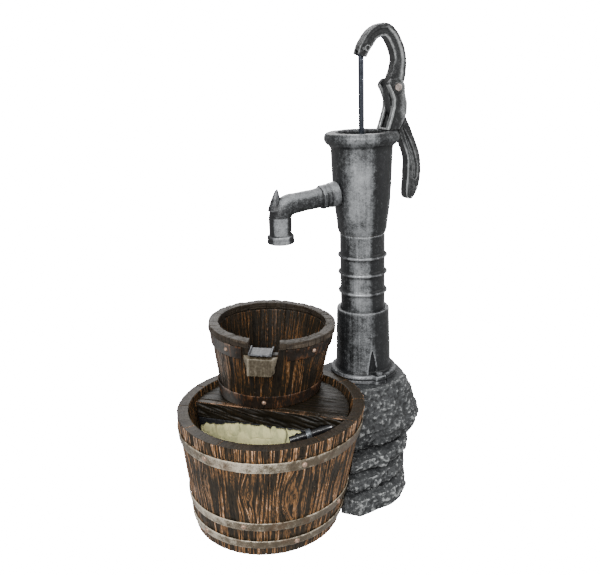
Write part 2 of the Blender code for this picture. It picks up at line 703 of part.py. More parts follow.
def lever():
    handle = side_plate("handle", lever_outline(), LEVER_THICK / 2, IRON)
    swing = [(0.0050, 0.0), (0.0050, -0.030), (-0.0280, -0.030), (-0.0040, 0.0029), (-0.0025, 0.0043),
             (0.0, 0.0050), (0.0025, 0.0043), (0.0043, 0.0025)]
    slot = side_plate("hook_slot_cutter", [(HOOK_PIN.x + x, HOOK_PIN.z + z) for x, z in swing], 0.0049, None)
    combine(handle, slot)
    reach = Vector((0, 0.03, 0))
    combine(handle, rod_between("hook_hole_cutter", HOOK_PIN - reach, HOOK_PIN + reach, PIN_RADIUS + GAP))
    combine(handle, rod_between("hub_hole_cutter", FULCRUM - reach, FULCRUM + reach, BOLT_RADIUS + GAP))
    pin = rod_between("hook_pin", HOOK_PIN - Vector((0, 0.0105, 0)), HOOK_PIN + Vector((0, 0.0105, 0)),
                      PIN_RADIUS, BOLT_STEEL)
    return handle, pin


def fulcrum():
    post = side_plate("fulcrum_post", POST_OUTLINE, FORK_WIDTH / 2, IRON)
    slot = box("fork_cutter", (0.0, -FORK_GAP / 2, FORK_FLOOR), (0.1, FORK_GAP / 2, 0.70))
    combine(post, slot)
    reach = Vector((0, 0.03, 0))
    combine(post, rod_between("post_hole_cutter", FULCRUM - reach, FULCRUM + reach, BOLT_RADIUS + GAP))
    cheek = FORK_WIDTH / 2 + GAP
    bolt = rod_between("fulcrum_bolt", FULCRUM - Vector((0, cheek + 0.001, 0)),
                       FULCRUM + Vector((0, cheek + 0.007, 0)), BOLT_RADIUS, BOLT_STEEL)
    head = rod_between("bolt_head_guide", FULCRUM - Vector((0, cheek + 0.0035, 0)),
                       FULCRUM - Vector((0, cheek, 0)), 0.0062, BOLT_STEEL, 6)
    combine(bolt, head, "UNION")
    nut = rod_between("fulcrum_nut", FULCRUM + Vector((0, cheek, 0)), FULCRUM + Vector((0, cheek + 0.005, 0)),
                      0.0066, BOLT_STEEL, 6)
    combine(nut, rod_between("nut_hole_cutter", FULCRUM, FULCRUM + reach * 2, BOLT_RADIUS + GAP))


def piston_rod():
    """Rod with an eye for the hook pin and a round foot for the plunger's socket."""
    profile = [
        (0.0, ROD_FOOT), (0.0045, ROD_FOOT), (0.0062, ROD_FOOT + 0.002), (0.0062, ROD_FOOT + 0.008),
        (ROD_RADIUS, ROD_FOOT + 0.011), (ROD_RADIUS, HOOK_PIN.z), (0.0039, HOOK_PIN.z + 0.0022),
        (0.0022, HOOK_PIN.z + 0.0039), (0.0, HOOK_PIN.z + ROD_RADIUS),
    ]
    rod = turned("piston_rod", profile, STEEL, 20)
    reach = Vector((0, 0.02, 0))
    combine(rod, rod_between("eye_cutter", HOOK_PIN - reach, HOOK_PIN + reach, PIN_RADIUS + GAP))
    return rod


# ---------------------------------------------------------------- pump works
def plunger_group():
    top = PLUNGER_FOOT + 0.006
    profile = [
        (0.0070, PLUNGER_FOOT), (0.0306, PLUNGER_FOOT), (0.0306, top), (0.0150, top), (0.0150, top + 0.021),
        (0.0115, top + 0.021), (0.0115, top), (0.0070, top),
    ]
    plunger = turned("plunger", profile, BRASS)
    cup_top = PLUNGER_FOOT - GAP
    profile = [
        (0.0090, cup_top - 0.003), (0.0270, cup_top - 0.003), (0.0285, cup_top - 0.011),
        (0.0308, cup_top - 0.011), (0.0306, cup_top), (0.0090, cup_top),
    ]
    leather = turned("cup_leather", profile, LEATHER)
    face = top + GAP
    profile = [(0.0, face - 0.009), (0.0030, face - 0.009), (0.0030, face), (0.0092, face),
               (0.0092, face + 0.0022), (0.0, face + 0.0022)]
    valve = turned("plunger_valve", profile, BRASS, 20)
    return plunger, leather, valve


def pump_works():
    profile = [(LINER_BORE, LINER_FOOT), (COLUMN_BORE - GAP, LINER_FOOT), (COLUMN_BORE - GAP, LINER_TOP),
               (LINER_BORE, LINER_TOP)]
    turned("cylinder_liner", profile, BRASS)
    top = LINER_FOOT - GAP
    profile = [(0.0100, SEAT_FOOT), (COLUMN_BORE - GAP, SEAT_FOOT), (COLUMN_BORE - GAP, top), (0.0100, top)]
    turned("foot_valve_seat", profile, BRASS)
    flap = turned("foot_valve_flap", [(0.0, top + GAP), (0.0125, top + GAP), (0.0125, top + 0.0028),
                                      (0.0, top + 0.0028)], LEATHER, 20)
    ear = box("flap_ear_guide", (0.009, -0.005, top + GAP), (0.0150, 0.005, top + 0.0028), LEATHER)
    combine(flap, ear, "UNION")
    return flap


# ---------------------------------------------------------------- water pipe
def riser_route():
    """Up the pump's axis, round a bend and level through the pedestal and the low tub's wall."""
    towards = Vector((-0.969, -0.245, 0)).normalized()
    bend = 0.022
    points = [towards * 0.0740 + Vector((0, 0, RISER_BEND)), towards * 0.050 + Vector((0, 0, RISER_BEND))]
    for k in range(7):
        turn = math.pi / 2 * k / 6
        out = bend * (1 - math.sin(turn))
        rise = bend * (1 - math.cos(turn))
        points.append(towards * out + Vector((0, 0, RISER_BEND + rise)))
    points.append(Vector((0, 0, SEAT_FOOT - GAP)))
    return points


def inlet_route():
    """From the open mouth in the low tub, through the beam and round to the riser."""
    towards = Vector((-0.969, -0.245, 0)).normalized()
    end = towards * (0.0740 + GAP) + Vector((0, 0, RISER_BEND))
    straight = (PIPE_EXIT - PIPE_MOUTH).normalized()
    corner = PIPE_EXIT + straight * 0.010
    turn = [corner + Vector((0.0105, 0.0045, 0.0005)), corner + Vector((0.0160, 0.0160, -0.0010))]
    points = [PIPE_MOUTH, PIPE_MOUTH.lerp(PIPE_EXIT, 0.5), PIPE_EXIT, corner] + turn
    points += [Vector((-0.098, -0.078, 0.1600)), Vector((-0.095, -0.045, 0.1540)), end + towards * 0.012]
    return smooth_path(points, 2) + [end]


def water_pipe(beam, board, staves, stones):
    route = riser_route()
    count = len(route)
    riser = tube("riser_pipe", route, [PIPE_RADIUS] * count, [PIPE_BORE] * count, BLACK_PIPE, 12)
    path = inlet_route()
    count = len(path)
    tube("inlet_pipe", path, [PIPE_RADIUS] * count, [PIPE_BORE] * count, BLACK_PIPE, 10)
    room = PIPE_RADIUS + 0.0006
    along = (PIPE_EXIT - PIPE_MOUTH).normalized()
    bore = solid_sweep("exit_cutter", path[1:-3], room, 16)
    combine(beam, bore)
    combine(board, bore)
    level = rod_between("wall_cutter", route[0] - route[1] + route[0], route[1], room, None, 20)
    for piece in staves:
        combine(piece, level)
    shaft = solid_sweep("shaft_cutter", [route[0]] + route[1:-1] + [Vector((0, 0, 0.25))], room)
    combine(stones["stone_top"], shaft)
    for name, share, thick, length in (("pipe_collar", 0.22, 0.0011, 0.0035), ("pipe_clip", 0.50, 0.0022, 0.008)):
        middle = PIPE_MOUTH.lerp(PIPE_EXIT, share)
        ends = [middle - along * length / 2, middle + along * length / 2]
        look = BLACK_PIPE if name == "pipe_collar" else BOLT_STEEL
        tube(name, ends, [room + thick] * 2, [room - GAP] * 2, look, 16)
    return riser


# ---------------------------------------------------------------- assembly
drum_room = drum_cutter()
low_staves = low_tub(drum_room)
deck_beam, partition = deck()
small_tub()
stones = pedestal(drum_room)
pump_base()
column_pipe()
pump_body()
spout()
fulcrum()
flap = pump_works()
plunger, cup, poppet = plunger_group()
handle, hook_pin = lever()
rod = piston_rod()
wall_stave = low_staves[0]
water_pipe(deck_beam, partition, [wall_stave], stones)

handle_joint = joint_empty("handle_pivot", FULCRUM)
rod_joint = joint_empty("rod_pivot", HOOK_PIN)
plunger_joint = joint_empty("plunger_slide", Vector((0, 0, PLUNGER_FOOT)))
valve_joint = joint_empty("valve_lift", Vector((0, 0, PLUNGER_FOOT + 0.006)))
flap_joint = joint_empty("flap_hinge", FLAP_HINGE)
hang_on(handle_joint, handle, hook_pin)
hang_on(rod_joint, rod)
hang_on(plunger_joint, plunger, cup)
hang_on(valve_joint, poppet)
hang_on(flap_joint, flap)
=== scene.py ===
"""Looks for the hand pump fountain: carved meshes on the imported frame, in painted-resin materials."""
import math

import bmesh
import bpy
import numpy as np
from mathutils import Matrix, Vector


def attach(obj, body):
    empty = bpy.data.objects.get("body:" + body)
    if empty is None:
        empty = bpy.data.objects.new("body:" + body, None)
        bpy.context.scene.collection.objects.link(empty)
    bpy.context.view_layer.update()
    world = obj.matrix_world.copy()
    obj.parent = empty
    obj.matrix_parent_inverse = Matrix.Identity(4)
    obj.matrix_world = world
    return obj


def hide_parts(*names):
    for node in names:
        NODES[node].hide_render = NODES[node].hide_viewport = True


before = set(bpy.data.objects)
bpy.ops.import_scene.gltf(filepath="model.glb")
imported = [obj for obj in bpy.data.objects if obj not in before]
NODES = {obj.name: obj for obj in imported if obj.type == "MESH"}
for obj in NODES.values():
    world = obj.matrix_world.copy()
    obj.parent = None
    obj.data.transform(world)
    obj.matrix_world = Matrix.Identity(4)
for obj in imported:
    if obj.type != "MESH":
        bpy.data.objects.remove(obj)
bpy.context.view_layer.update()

# ---------------------------------------------------------------- sizes repeated from the model
LOW_RIM = np.array((-0.1935, -0.0495))
LOW_LEAN = np.array((-0.0125, 0.0062))
LOW_TOP = 0.197
SMALL_RIM = np.array((-0.159, 0.021))
SMALL_LEAN = np.array((-0.0074, 0.0033))
SMALL_FOOT, SMALL_WALL_TOP = 0.1879, 0.2955
TIP, TIP_WAY = 0.055, np.array((0.92, -0.39))
SPILL = math.radians(241.0)
DECK_ALONG = np.array((0.7501, -0.6613))
DECK_AHEAD = np.array((-0.6613, -0.7501))
FULCRUM = np.array((0.055, 0.668))
HOOK_EYE = np.array((0.0073, 0.7273))
LEVER_LINE = np.array((
    (-.0020, .7165, .0160), (.0022, .7268, .0182), (.0088, .7357, .0192), (.0172, .7465, .0192),
    (.0290, .7527, .0196), (.0412, .7535, .0202), (.0508, .7460, .0200), (.0583, .7340, .0208),
    (.0633, .7218, .0210), (.0655, .7087, .0216), (.0632, .6895, .0250), (.0570, .6690, .0275),
    (.0572, .6450, .0240), (.0615, .6300, .0215), (.0680, .6150, .0204), (.0740, .6028, .0212),
    (.0807, .5858, .0232), (.0883, .5688, .0234), (.0922, .5532, .0246), (.0929, .5400, .0256),
    (.0920, .5202, .0256), (.0889, .5050, .0225), (.0862, .4940, .0165), (.0850, .4875, .0080)))
POST_RIB = np.array(((.0385, .6040), (.0445, .6200), (.0495, .6380), (.0500, .6490), (.0455, .6610),
                     (.0400, .6705)))
GRIP_SLOT = np.array(((.0715, .6035), (.0806, .5852), (.0891, .5639), (.0944, .5424), (.0948, .5240)))
LOW_FOOT_RADIUS, LOW_FLARE = .119, .03
SMALL_FOOT_RADIUS, SMALL_FLARE = .083, .018
LOW_STAVES, SMALL_STAVES, FIRST_JOINT = 12, 8, 7.5
TUB_SIDES, PUMP_SIDES = 48, 28
HOOP_PROUD = .0026
# Heights of the painted highlight along the deck beam's top edge.
BEAM_TOP_HIGHLIGHT = (.1858, .1872)
CHUTE_FLOOR = .2920
ARM_X, ARM_Z, ARM_RISE = -.0645, .5065, .10
NOZZLE_X = -.1447
ARCH_ANGLE, ARCH_FOOT, ARCH_HEIGHT, ARCH_HALF = 261.5, .2045, .040, .0066
FLANGE_TIER = .1975
PIPE_OUTER, PIPE_BORE = .0065, .0045
STUDIO_WHITE = 22.0


def low_centre(z):
    """The low tub leans, so its middle moves with height."""
    return LOW_RIM + LOW_LEAN * (1 - z / LOW_TOP)[:, None]


def low_radius(z):
    return LOW_FOOT_RADIUS + LOW_FLARE * z / LOW_TOP


def small_share(z):
    return (z - SMALL_FOOT) / (SMALL_WALL_TOP - SMALL_FOOT)


def untipped(co):
    """The small tub's points before its rim was sloped."""
    flat = co.copy()
    across = (co[:, :2] - SMALL_RIM) @ TIP_WAY
    for _ in range(4):
        share = np.clip(small_share(flat[:, 2]), 0, 1.2)
        flat[:, 2] = co[:, 2] + TIP * share * across
    return flat


def small_centre(z):
    return SMALL_RIM + SMALL_LEAN * (1 - small_share(z))[:, None]


def pump_axis(z):
    return np.zeros((len(z), 2))


# ---------------------------------------------------------------- noise on arrays of points
def lattice(x, y, z, seed):
    mixed = x * 73856093 ^ y * 19349663 ^ z * 83492791 ^ (seed + 11) * 2654435
    mixed = (mixed ^ (mixed >> 13)) * 1274126177
    mixed = mixed ^ (mixed >> 16)
    return (mixed & 0xFFFF) / 65535.0


def noise(points, seed=0):
    """Smooth noise from 0 to 1, in cells one unit wide."""
    cell = np.floor(points).astype(np.int64)
    part = points - cell
    part = part * part * (3 - 2 * part)
    total = np.zeros(len(points))
    for dx in (0, 1):
        wx = part[:, 0] if dx else 1 - part[:, 0]
        for dy in (0, 1):
            wy = part[:, 1] if dy else 1 - part[:, 1]
            for dz in (0, 1):
                wz = part[:, 2] if dz else 1 - part[:, 2]
                corner = lattice(cell[:, 0] + dx, cell[:, 1] + dy, cell[:, 2] + dz, seed)
                total += wx * wy * wz * corner
    return total


def cloud(points, seed=0, octaves=3):
    """Noise summed over finer and finer cells, 0 to 1."""
    total = np.zeros(len(points))
    weight = 0.0
    for k in range(octaves):
        total += noise(points * 2.0 ** k + 7.3 * k, seed + k) * 0.55 ** k
        weight += 0.55 ** k
    return total / weight


def ridges(points, seed=0):
    """Rounded crests with narrow valleys, 0 to 1."""
    return 1 - np.abs(2 * noise(points, seed) - 1)


def steps(value, low, high):
    t = np.clip((value - low) / (high - low), 0, 1)
    return t * t * (3 - 2 * t)


def stack(*columns):
    return np.stack(np.broadcast_arrays(*columns), axis=1).astype(float)


def near_line(points, line):
    """Distance from each (x, z) point to a polyline, and the place of the nearest point along it."""
    best = np.full(len(points), 1e9)
    place = np.zeros(len(points))
    for k in range(len(line) - 1):
        a, b = line[k, :2], line[k + 1, :2]
        t = np.clip((points - a) @ (b - a) / ((b - a) @ (b - a)), 0, 1)
        gap = np.linalg.norm(points - a - t[:, None] * (b - a), axis=1)
        closer = gap < best
        best[closer] = gap[closer]
        place[closer] = k + t[closer]
    return best, place


# ---------------------------------------------------------------- mesh tools
def linked(name, mesh):
    made = bpy.data.objects.new(name, mesh)
    bpy.context.scene.collection.objects.link(made)
    return made


def mesh_of(bm, name="guide"):
    bmesh.ops.recalc_face_normals(bm, faces=bm.faces)
    mesh = bpy.data.meshes.new(name)
    bm.to_mesh(mesh)
    bm.free()
    return mesh


def skinned(name, meshes, voxel):
    """One closed skin of even quads round all the given meshes."""
    bm = bmesh.new()
    for mesh in meshes:
        bm.from_mesh(mesh)
    made = linked(name, mesh_of(bm, name))
    step = made.modifiers.new("skin", "REMESH")
    step.mode = "VOXEL"
    step.voxel_size = voxel
    graph = bpy.context.evaluated_depsgraph_get()
    fine = bpy.data.meshes.new_from_object(made.evaluated_get(graph))
    made.modifiers.clear()
    made.data = fine
    fine.name = name
    fine.materials.clear()
    return made


def read(mesh):
    co = np.empty(len(mesh.vertices) * 3, np.float32)
    mesh.vertices.foreach_get("co", co)
    normals = np.empty(len(mesh.vertices) * 3, np.float32)
    mesh.vertex_normals.foreach_get("vector", normals)
    return co.reshape(-1, 3).astype(float), normals.reshape(-1, 3).astype(float)


def write(mesh, co):
    mesh.vertices.foreach_set("co", co.astype(np.float32).ravel())
    mesh.update()


def edges_of(mesh):
    ends = np.empty(len(mesh.edges) * 2, np.int32)
    mesh.edges.foreach_get("vertices", ends)
    return ends.reshape(-1, 2)


def evened(values, ends, rounds):
    """Each value moved to its neighbours' mean, a number of times."""
    count = np.bincount(ends.ravel(), minlength=len(values))[:, None]
    out = values.copy()
    for _ in range(rounds):
        total = np.zeros_like(out)
        for k in range(out.shape[1]):
            total[:, k] = np.bincount(ends[:, 0], out[ends[:, 1], k], len(out))
            total[:, k] += np.bincount(ends[:, 1], out[ends[:, 0], k], len(out))
        out = 0.3 * out + 0.7 * total / count
    return out


def store(mesh, name, values):
    made = mesh.attributes.new(name, "FLOAT", "POINT")
    made.data.foreach_set("value", np.clip(values, 0, 1).astype(np.float32))


def rounded(co, centre_at, sides):
    """Turn the model's many-sided rings into true circles."""
    flat = co[:, :2] - centre_at(co[:, 2])
    step = 2 * math.pi / sides
    angle = np.arctan2(flat[:, 1], flat[:, 0])
    off = np.mod(angle, step) - step / 2
    out = co.copy()
    out[:, :2] = centre_at(co[:, 2]) + flat * (np.cos(off) / math.cos(step / 2))[:, None]
    return out


def piece(name, nodes, look, mover=None, voxel=0.0012, body="root", soften=2, meshes=None, reach=6):
    """A fine copy of CAD nodes, softened, carved by mover and marked with its relief and wear."""
    made = skinned(name, meshes or [NODES[node].data for node in nodes], voxel)
    mesh = made.data
    ends = edges_of(mesh)
    co, normals = read(mesh)
    co = evened(co, ends, soften)
    marks = {}
    if mover:
        co, marks = mover(co, normals)
    write(mesh, co)
    co, normals = read(mesh)
    relief = ((co - evened(co, ends, reach)) * normals).sum(axis=1)
    store(mesh, "wear", 0.5 + relief / 0.0016)
    for label in ("carve", "tone"):
        store(mesh, label, np.broadcast_to(marks.get(label, np.full(1, 0.5)), (len(co),)))
    mesh.shade_smooth()
    mesh.materials.append(look)
    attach(made, body)
    if nodes:
        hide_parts(*nodes)
    return made


def turned_mesh(profile, sides=72):
    """Revolve (radius, z) points round the pump's axis into a closed mesh."""
    bm = bmesh.new()
    rows = []
    for radius, z in profile:
        if radius == 0.0:
            rows.append([bm.verts.new((0, 0, z))])
            continue
        ring = [2 * math.pi * k / sides for k in range(sides)]
        rows.append([bm.verts.new((radius * math.cos(a), radius * math.sin(a), z)) for a in ring])
    pairs = list(zip(rows, rows[1:]))
    if profile[0][0] > 0:
        pairs.append((rows[-1], rows[0]))
    for lower, upper in pairs:
        for i in range(sides):
            j = (i + 1) % sides
            corners = [row[n % len(row)] for row, n in ((lower, i), (lower, j), (upper, j), (upper, i))]
            bm.faces.new(list(dict.fromkeys(corners)))
    return mesh_of(bm)


def tube_mesh(path, outer, inner, sides=40):
    """A pipe along a path: hollow with an inner radius, or solid without one."""
    bm = bmesh.new()
    side = Vector((0.1, 1, 0))
    frames = []
    for i, point in enumerate(path):
        ahead = (path[min(i + 1, len(path) - 1)] - path[max(i - 1, 0)]).normalized()
        side = (side - ahead * side.dot(ahead)).normalized()
        frames.append((point, side.copy(), ahead.cross(side)))

    def rings(radii):
        made = []
        for (point, one, other), radius in zip(frames, radii):
            turn = [2 * math.pi * k / sides for k in range(sides)]
            ring = [point + (one * math.cos(a) + other * math.sin(a)) * radius for a in turn]
            made.append([bm.verts.new(spot) for spot in ring])
        return made

    loops = rings(outer)
    if inner:
        loops += rings(inner)[::-1]
        loops.append(loops[0])
    else:
        bm.faces.new(loops[0])
        bm.faces.new(loops[-1])
    for lower, upper in zip(loops, loops[1:]):
        for k in range(sides):
            m = (k + 1) % sides
            bm.faces.new([lower[k], lower[m], upper[m], upper[k]])
    return mesh_of(bm)


def curved(points, count):
    """Catmull-Rom curve through vectors, with count steps in each span."""
    padded = [points[0] * 2 - points[1]] + list(points) + [points[-1] * 2 - points[-2]]
    out = []
    for a, b, c, d in zip(padded, padded[1:], padded[2:], padded[3:]):
        for k in range(count):
            t = k / count
            lead = b * 2 + (c - a) * t
            bend = (a * 2 - b * 5 + c * 4 - d) * t * t + (b * 3 - a - c * 3 + d) * t ** 3
            out.append((lead + bend) / 2)
    out.append(points[-1].copy())
    return out


# ---------------------------------------------------------------- materials
class Look:
    """A painted-resin material built from nodes on the object's own coordinates."""

    def __init__(self, name):
        self.material = bpy.data.materials.new(name)
        self.material.use_nodes = True
        self.tree = self.material.node_tree
        self.shader = self.tree.nodes["Principled BSDF"]
        self.place = self.tree.nodes.new("ShaderNodeTexCoord").outputs["Object"]

    def feed(self, socket, value):
        if isinstance(value, bpy.types.NodeSocket):
            self.tree.links.new(value, socket)
        elif isinstance(value, tuple):
            socket.default_value = (*value, 1.0)
        else:
            socket.default_value = value

    def attr(self, name):
        made = self.tree.nodes.new("ShaderNodeAttribute")
        made.attribute_name = name
        return made.outputs["Fac"]

    def noise(self, size, detail=4.0, stretch=(1, 1, 1), seed=0.0):
        place = self.tree.nodes.new("ShaderNodeMapping")
        self.feed(place.inputs["Vector"], self.place)
        place.inputs["Location"].default_value = (seed, seed * 1.7, seed * 0.6)
        place.inputs["Scale"].default_value = tuple(s / size for s in stretch)
        made = self.tree.nodes.new("ShaderNodeTexNoise")
        made.inputs["Scale"].default_value = 1.0
        made.inputs["Detail"].default_value = detail
        made.inputs["Roughness"].default_value = 0.62
        self.feed(made.inputs["Vector"], place.outputs["Vector"])
        return made.outputs["Fac"]

    def calc(self, operation, a, b=0.0, c=0.0):
        made = self.tree.nodes.new("ShaderNodeMath")
        made.operation = operation
        for socket, value in zip(made.inputs, (a, b, c)):
            self.feed(socket, value)
        return made.outputs[0]

    def total(self, *terms):
        """The sum of (value, weight) pairs."""
        out = None
        for value, weight in terms:
            out = self.calc("MULTIPLY_ADD", value, weight, out if out is not None else 0.0)
        return out

    def step(self, value, low, high):
        made = self.tree.nodes.new("ShaderNodeMapRange")
        made.interpolation_type = "SMOOTHSTEP"
        self.feed(made.inputs["Value"], value)
        made.inputs["From Min"].default_value = low
        made.inputs["From Max"].default_value = high
        return made.outputs["Result"]

    def mix(self, share, a, b):
        made = self.tree.nodes.new("ShaderNodeMix")
        made.data_type = "RGBA"
        self.feed(made.inputs[0], share)
        self.feed(made.inputs[6], a)
        self.feed(made.inputs[7], b)
        return made.outputs[2]

    def between(self, share, a, b):
        return self.calc("MULTIPLY_ADD", share, b - a, a)

    def finish(self, colour, rough, metal=0.0, height=None, depth=0.0004, specular=0.5, coat=0.0):
        self.feed(self.shader.inputs["Base Color"], colour)
        self.feed(self.shader.inputs["Roughness"], rough)
        self.feed(self.shader.inputs["Metallic"], metal)
        self.shader.inputs["Specular IOR Level"].default_value = specular
        self.shader.inputs["Coat Weight"].default_value = coat
        self.shader.inputs["Coat Roughness"].default_value = 0.25
        if height is not None:
            bump = self.tree.nodes.new("ShaderNodeBump")
            bump.inputs["Strength"].default_value = 0.9
            bump.inputs["Distance"].default_value = depth
            self.feed(bump.inputs["Height"], height)
            self.feed(self.shader.inputs["Normal"], bump.outputs["Normal"])
        return self.material


def iron_look(name, dark, light):
    """Near-black casting with silver brushed over its edges and in mottled patches, and where tone is high,
    which also carries painted highlight bands.
    """
    look = Look(name)
    mottle = look.noise(0.0075, 6)
    fleck = look.noise(0.0017, 3, seed=4)
    broad = look.noise(0.045, 3, (1, 1, 0.5), seed=9)
    amount = look.total((look.attr("tone"), 0.60), (mottle, 0.50), (fleck, 0.62), (broad, 0.22),
                        (look.attr("wear"), 0.80))
    paint = look.step(amount, 1.10, 1.95)
    edge = look.step(look.total((look.attr("wear"), 1.0), (mottle, 0.25)), 0.80, 1.05)
    share = look.calc("MAXIMUM", paint, look.calc("MULTIPLY", edge, 0.62))
    colour = look.mix(share, dark, light)
    height = look.total((fleck, 0.5), (mottle, 0.8))
    rough, metal = look.between(share, 0.46, 0.36), look.between(share, 0.0, 0.6)
    return look.finish(colour, rough, metal, height, 0.0006, 0.28)


def wood_look(name, stops, speck=0.10, rough=0.52, grey=0.0):
    """Carved grain: dark in the grooves and brushed with copper on the crests."""
    look = Look(name)
    patch = look.noise(0.030, 4, (1, 1, 0.6))
    fine = look.noise(0.0015, 3, (1, 1, 0.06), seed=3)
    fleck = look.noise(0.0018, 2, seed=8)
    crest = look.total((look.attr("carve"), 0.60), (look.attr("wear"), 0.40), (fine, 0.85), (patch, 0.50))
    low, middle, high, top = stops
    colour = look.mix(look.step(crest, 0.66, 1.02), low, middle)
    colour = look.mix(look.step(crest, 1.12, 1.40), colour, high)
    colour = look.mix(look.step(crest, 1.38, 1.66), colour, top)
    hue = look.noise(0.018, 3, (1, 1, 0.5), seed=14)
    sooty = look.calc("MULTIPLY", look.step(hue, 0.52, 0.72), 0.45)
    colour = look.mix(sooty, colour, (0.016, 0.014, 0.013))
    bright = look.step(look.total((fleck, 1.0), (look.attr("wear"), 0.3)), 0.86, 0.98)
    colour = look.mix(look.calc("MULTIPLY", bright, speck * 3), colour, (0.55, 0.42, 0.33))
    if grey:
        greying = look.calc("MULTIPLY", look.step(look.attr("tone"), 0.25, 1.0), grey)
        colour = look.mix(greying, colour, (0.27, 0.27, 0.26))
    height = look.total((look.attr("carve"), 0.6), (fine, 0.6))
    worn = look.between(look.step(crest, 0.6, 1.4), rough, rough - 0.12)
    return look.finish(colour, worn, 0.0, height, 0.0004, 0.22)


def hoop_look(name, low, middle, high):
    """Blotched pale paint over dark metal, with brown patches."""
    look = Look(name)
    cloudy = look.noise(0.011, 5, (1, 1, 0.8))
    fleck = look.noise(0.0016, 3, seed=5)
    brown = look.noise(0.028, 3, seed=11)
    amount = look.total((cloudy, 0.80), (fleck, 0.60), (look.attr("wear"), 0.75), (look.attr("tone"), 0.50))
    colour = look.mix(look.step(amount, 0.92, 1.24), low, middle)
    colour = look.mix(look.step(amount, 1.24, 1.72), colour, high)
    rusty = look.calc("MULTIPLY", look.step(brown, 0.5, 0.7), 0.5)
    colour = look.mix(rusty, colour, (0.10, 0.045, 0.018))
    return look.finish(colour, look.between(look.step(amount, 0.8, 1.3), 0.5, 0.36), 0.35,
                       look.total((fleck, 0.6), (cloudy, 0.8)), 0.0005)


def stone_look():
    """Near-black rock with silver flecks on what stands proud."""
    look = Look("stone_paint")
    speck = look.noise(0.0017, 4, seed=2)
    patch = look.noise(0.013, 5)
    amount = look.total((speck, 1.0), (patch, 0.55), (look.attr("wear"), 0.80), (look.attr("tone"), 0.3))
    colour = look.mix(look.step(amount, 0.95, 1.35), (0.0085, 0.009, 0.0095), (0.036, 0.038, 0.040))
    colour = look.mix(look.step(amount, 1.42, 1.86), colour, (0.32, 0.33, 0.325))
    return look.finish(colour, 0.62, 0.0, look.total((speck, 0.8), (patch, 0.6)), 0.0010, 0.4)


def cream_look():
    """Smudged cream, dark in its cracks, black where tone is high."""
    look = Look("cream_paint")
    smudge = look.noise(0.014, 5, (1, 1, 0.6))
    fine = look.noise(0.003, 4, seed=6)
    colour = look.mix(look.step(smudge, 0.42, 0.62), (0.84, 0.79, 0.40), (0.58, 0.57, 0.29))
    colour = look.mix(look.calc("MULTIPLY", look.step(fine, 0.58, 0.75), 0.5), colour, (0.20, 0.20, 0.14))
    cracks = look.step(look.attr("carve"), 0.0, 0.35)
    colour = look.mix(cracks, (0.045, 0.045, 0.036), colour)
    colour = look.mix(look.attr("tone"), colour, (0.012, 0.012, 0.014))
    return look.finish(colour, 0.55, 0.0, look.total((fine, 0.5), (look.attr("carve"), 1.0)), 0.0005, 0.35)


def simple_look(name, dark, light, rough, metal, size=0.004, coat=0.0):
    """Two shades of one finish in fine mottling, lighter on edges."""
    look = Look(name)
    mottle = look.noise(size, 5)
    streak = look.noise(size * 0.5, 3, (1, 1, 0.15), seed=3)
    amount = look.total((mottle, 0.7), (streak, 0.4), (look.attr("wear"), 0.7), (look.attr("tone"), 0.3))
    share = look.step(amount, 0.85, 1.35)
    return look.finish(look.mix(share, dark, light), look.between(share, rough, rough * 0.8), metal,
                       look.total((mottle, 0.6), (streak, 0.4)), 0.0002, 0.5, coat)


IRON = iron_look("cast_iron_paint", (0.0085, 0.0090, 0.0100), (0.44, 0.455, 0.47))
LEVER_IRON = iron_look("lever_paint", (0.0095, 0.0100, 0.0105), (0.40, 0.41, 0.41))
WOOD = wood_look("oak_paint", ((0.0035, 0.0028, 0.0020), (0.032, 0.023, 0.014), (0.25, 0.120, 0.046),
                               (0.80, 0.52, 0.34)), grey=0.5)
TUB_WOOD = wood_look("small_oak_paint", ((0.0035, 0.0028, 0.0020), (0.018, 0.013, 0.008), (0.115, 0.052, 0.018),
                                         (0.40, 0.26, 0.16)), grey=0.5)
PLANK = wood_look("plank_paint", ((0.0035, 0.003, 0.0025), (0.009, 0.007, 0.004), (0.026, 0.017, 0.009),
                                  (0.34, 0.19, 0.11)), grey=0.1)
RIM = wood_look("rim_paint", ((0.006, 0.005, 0.004), (0.032, 0.023, 0.015), (0.085, 0.066, 0.048),
                              (0.26, 0.20, 0.155)), 0.14, 0.6, 0.16)
CHUTE = simple_look("chute_paint", (0.025, 0.026, 0.029), (0.13, 0.137, 0.15), 0.45, 0.1)
LIP = simple_look("lip_paint", (0.042, 0.031, 0.015), (0.21, 0.18, 0.13), 0.5, 0.0)
HOOP = hoop_look("hoop_paint", (0.012, 0.009, 0.0055), (0.105, 0.080, 0.050), (0.72, 0.64, 0.50))
DARK_HOOP = wood_look("dark_hoop_paint", ((0.0035, 0.003, 0.0025), (0.016, 0.011, 0.008), (0.085, 0.036, 0.015),
                                          (0.30, 0.20, 0.14)), 0.12, 0.5, 0.45)
RIVET = simple_look("rivet_paint", (0.22, 0.12, 0.075), (0.62, 0.45, 0.34), 0.35, 0.5, 0.003)
STONE = stone_look()
CREAM = cream_look()
PIPE = simple_look("pipe_gloss", (0.004, 0.004, 0.0045), (0.014, 0.014, 0.016), 0.20, 0.0, 0.01, 0.6)
CLIP = simple_look("clip_paint", (0.05, 0.055, 0.062), (0.22, 0.24, 0.26), 0.35, 0.6)
BOLT = simple_look("bolt_paint", (0.16, 0.13, 0.115), (0.55, 0.47, 0.43), 0.38, 0.6)
ROD = simple_look("rod_paint", (0.020, 0.024, 0.032), (0.070, 0.080, 0.098), 0.30, 0.7)
BRASS = simple_look("brass_metal", (0.30, 0.19, 0.06), (0.62, 0.44, 0.18), 0.36, 0.9)
LEATHER = simple_look("leather_brown", (0.045, 0.020, 0.010), (0.14, 0.07, 0.035), 0.6, 0.0)


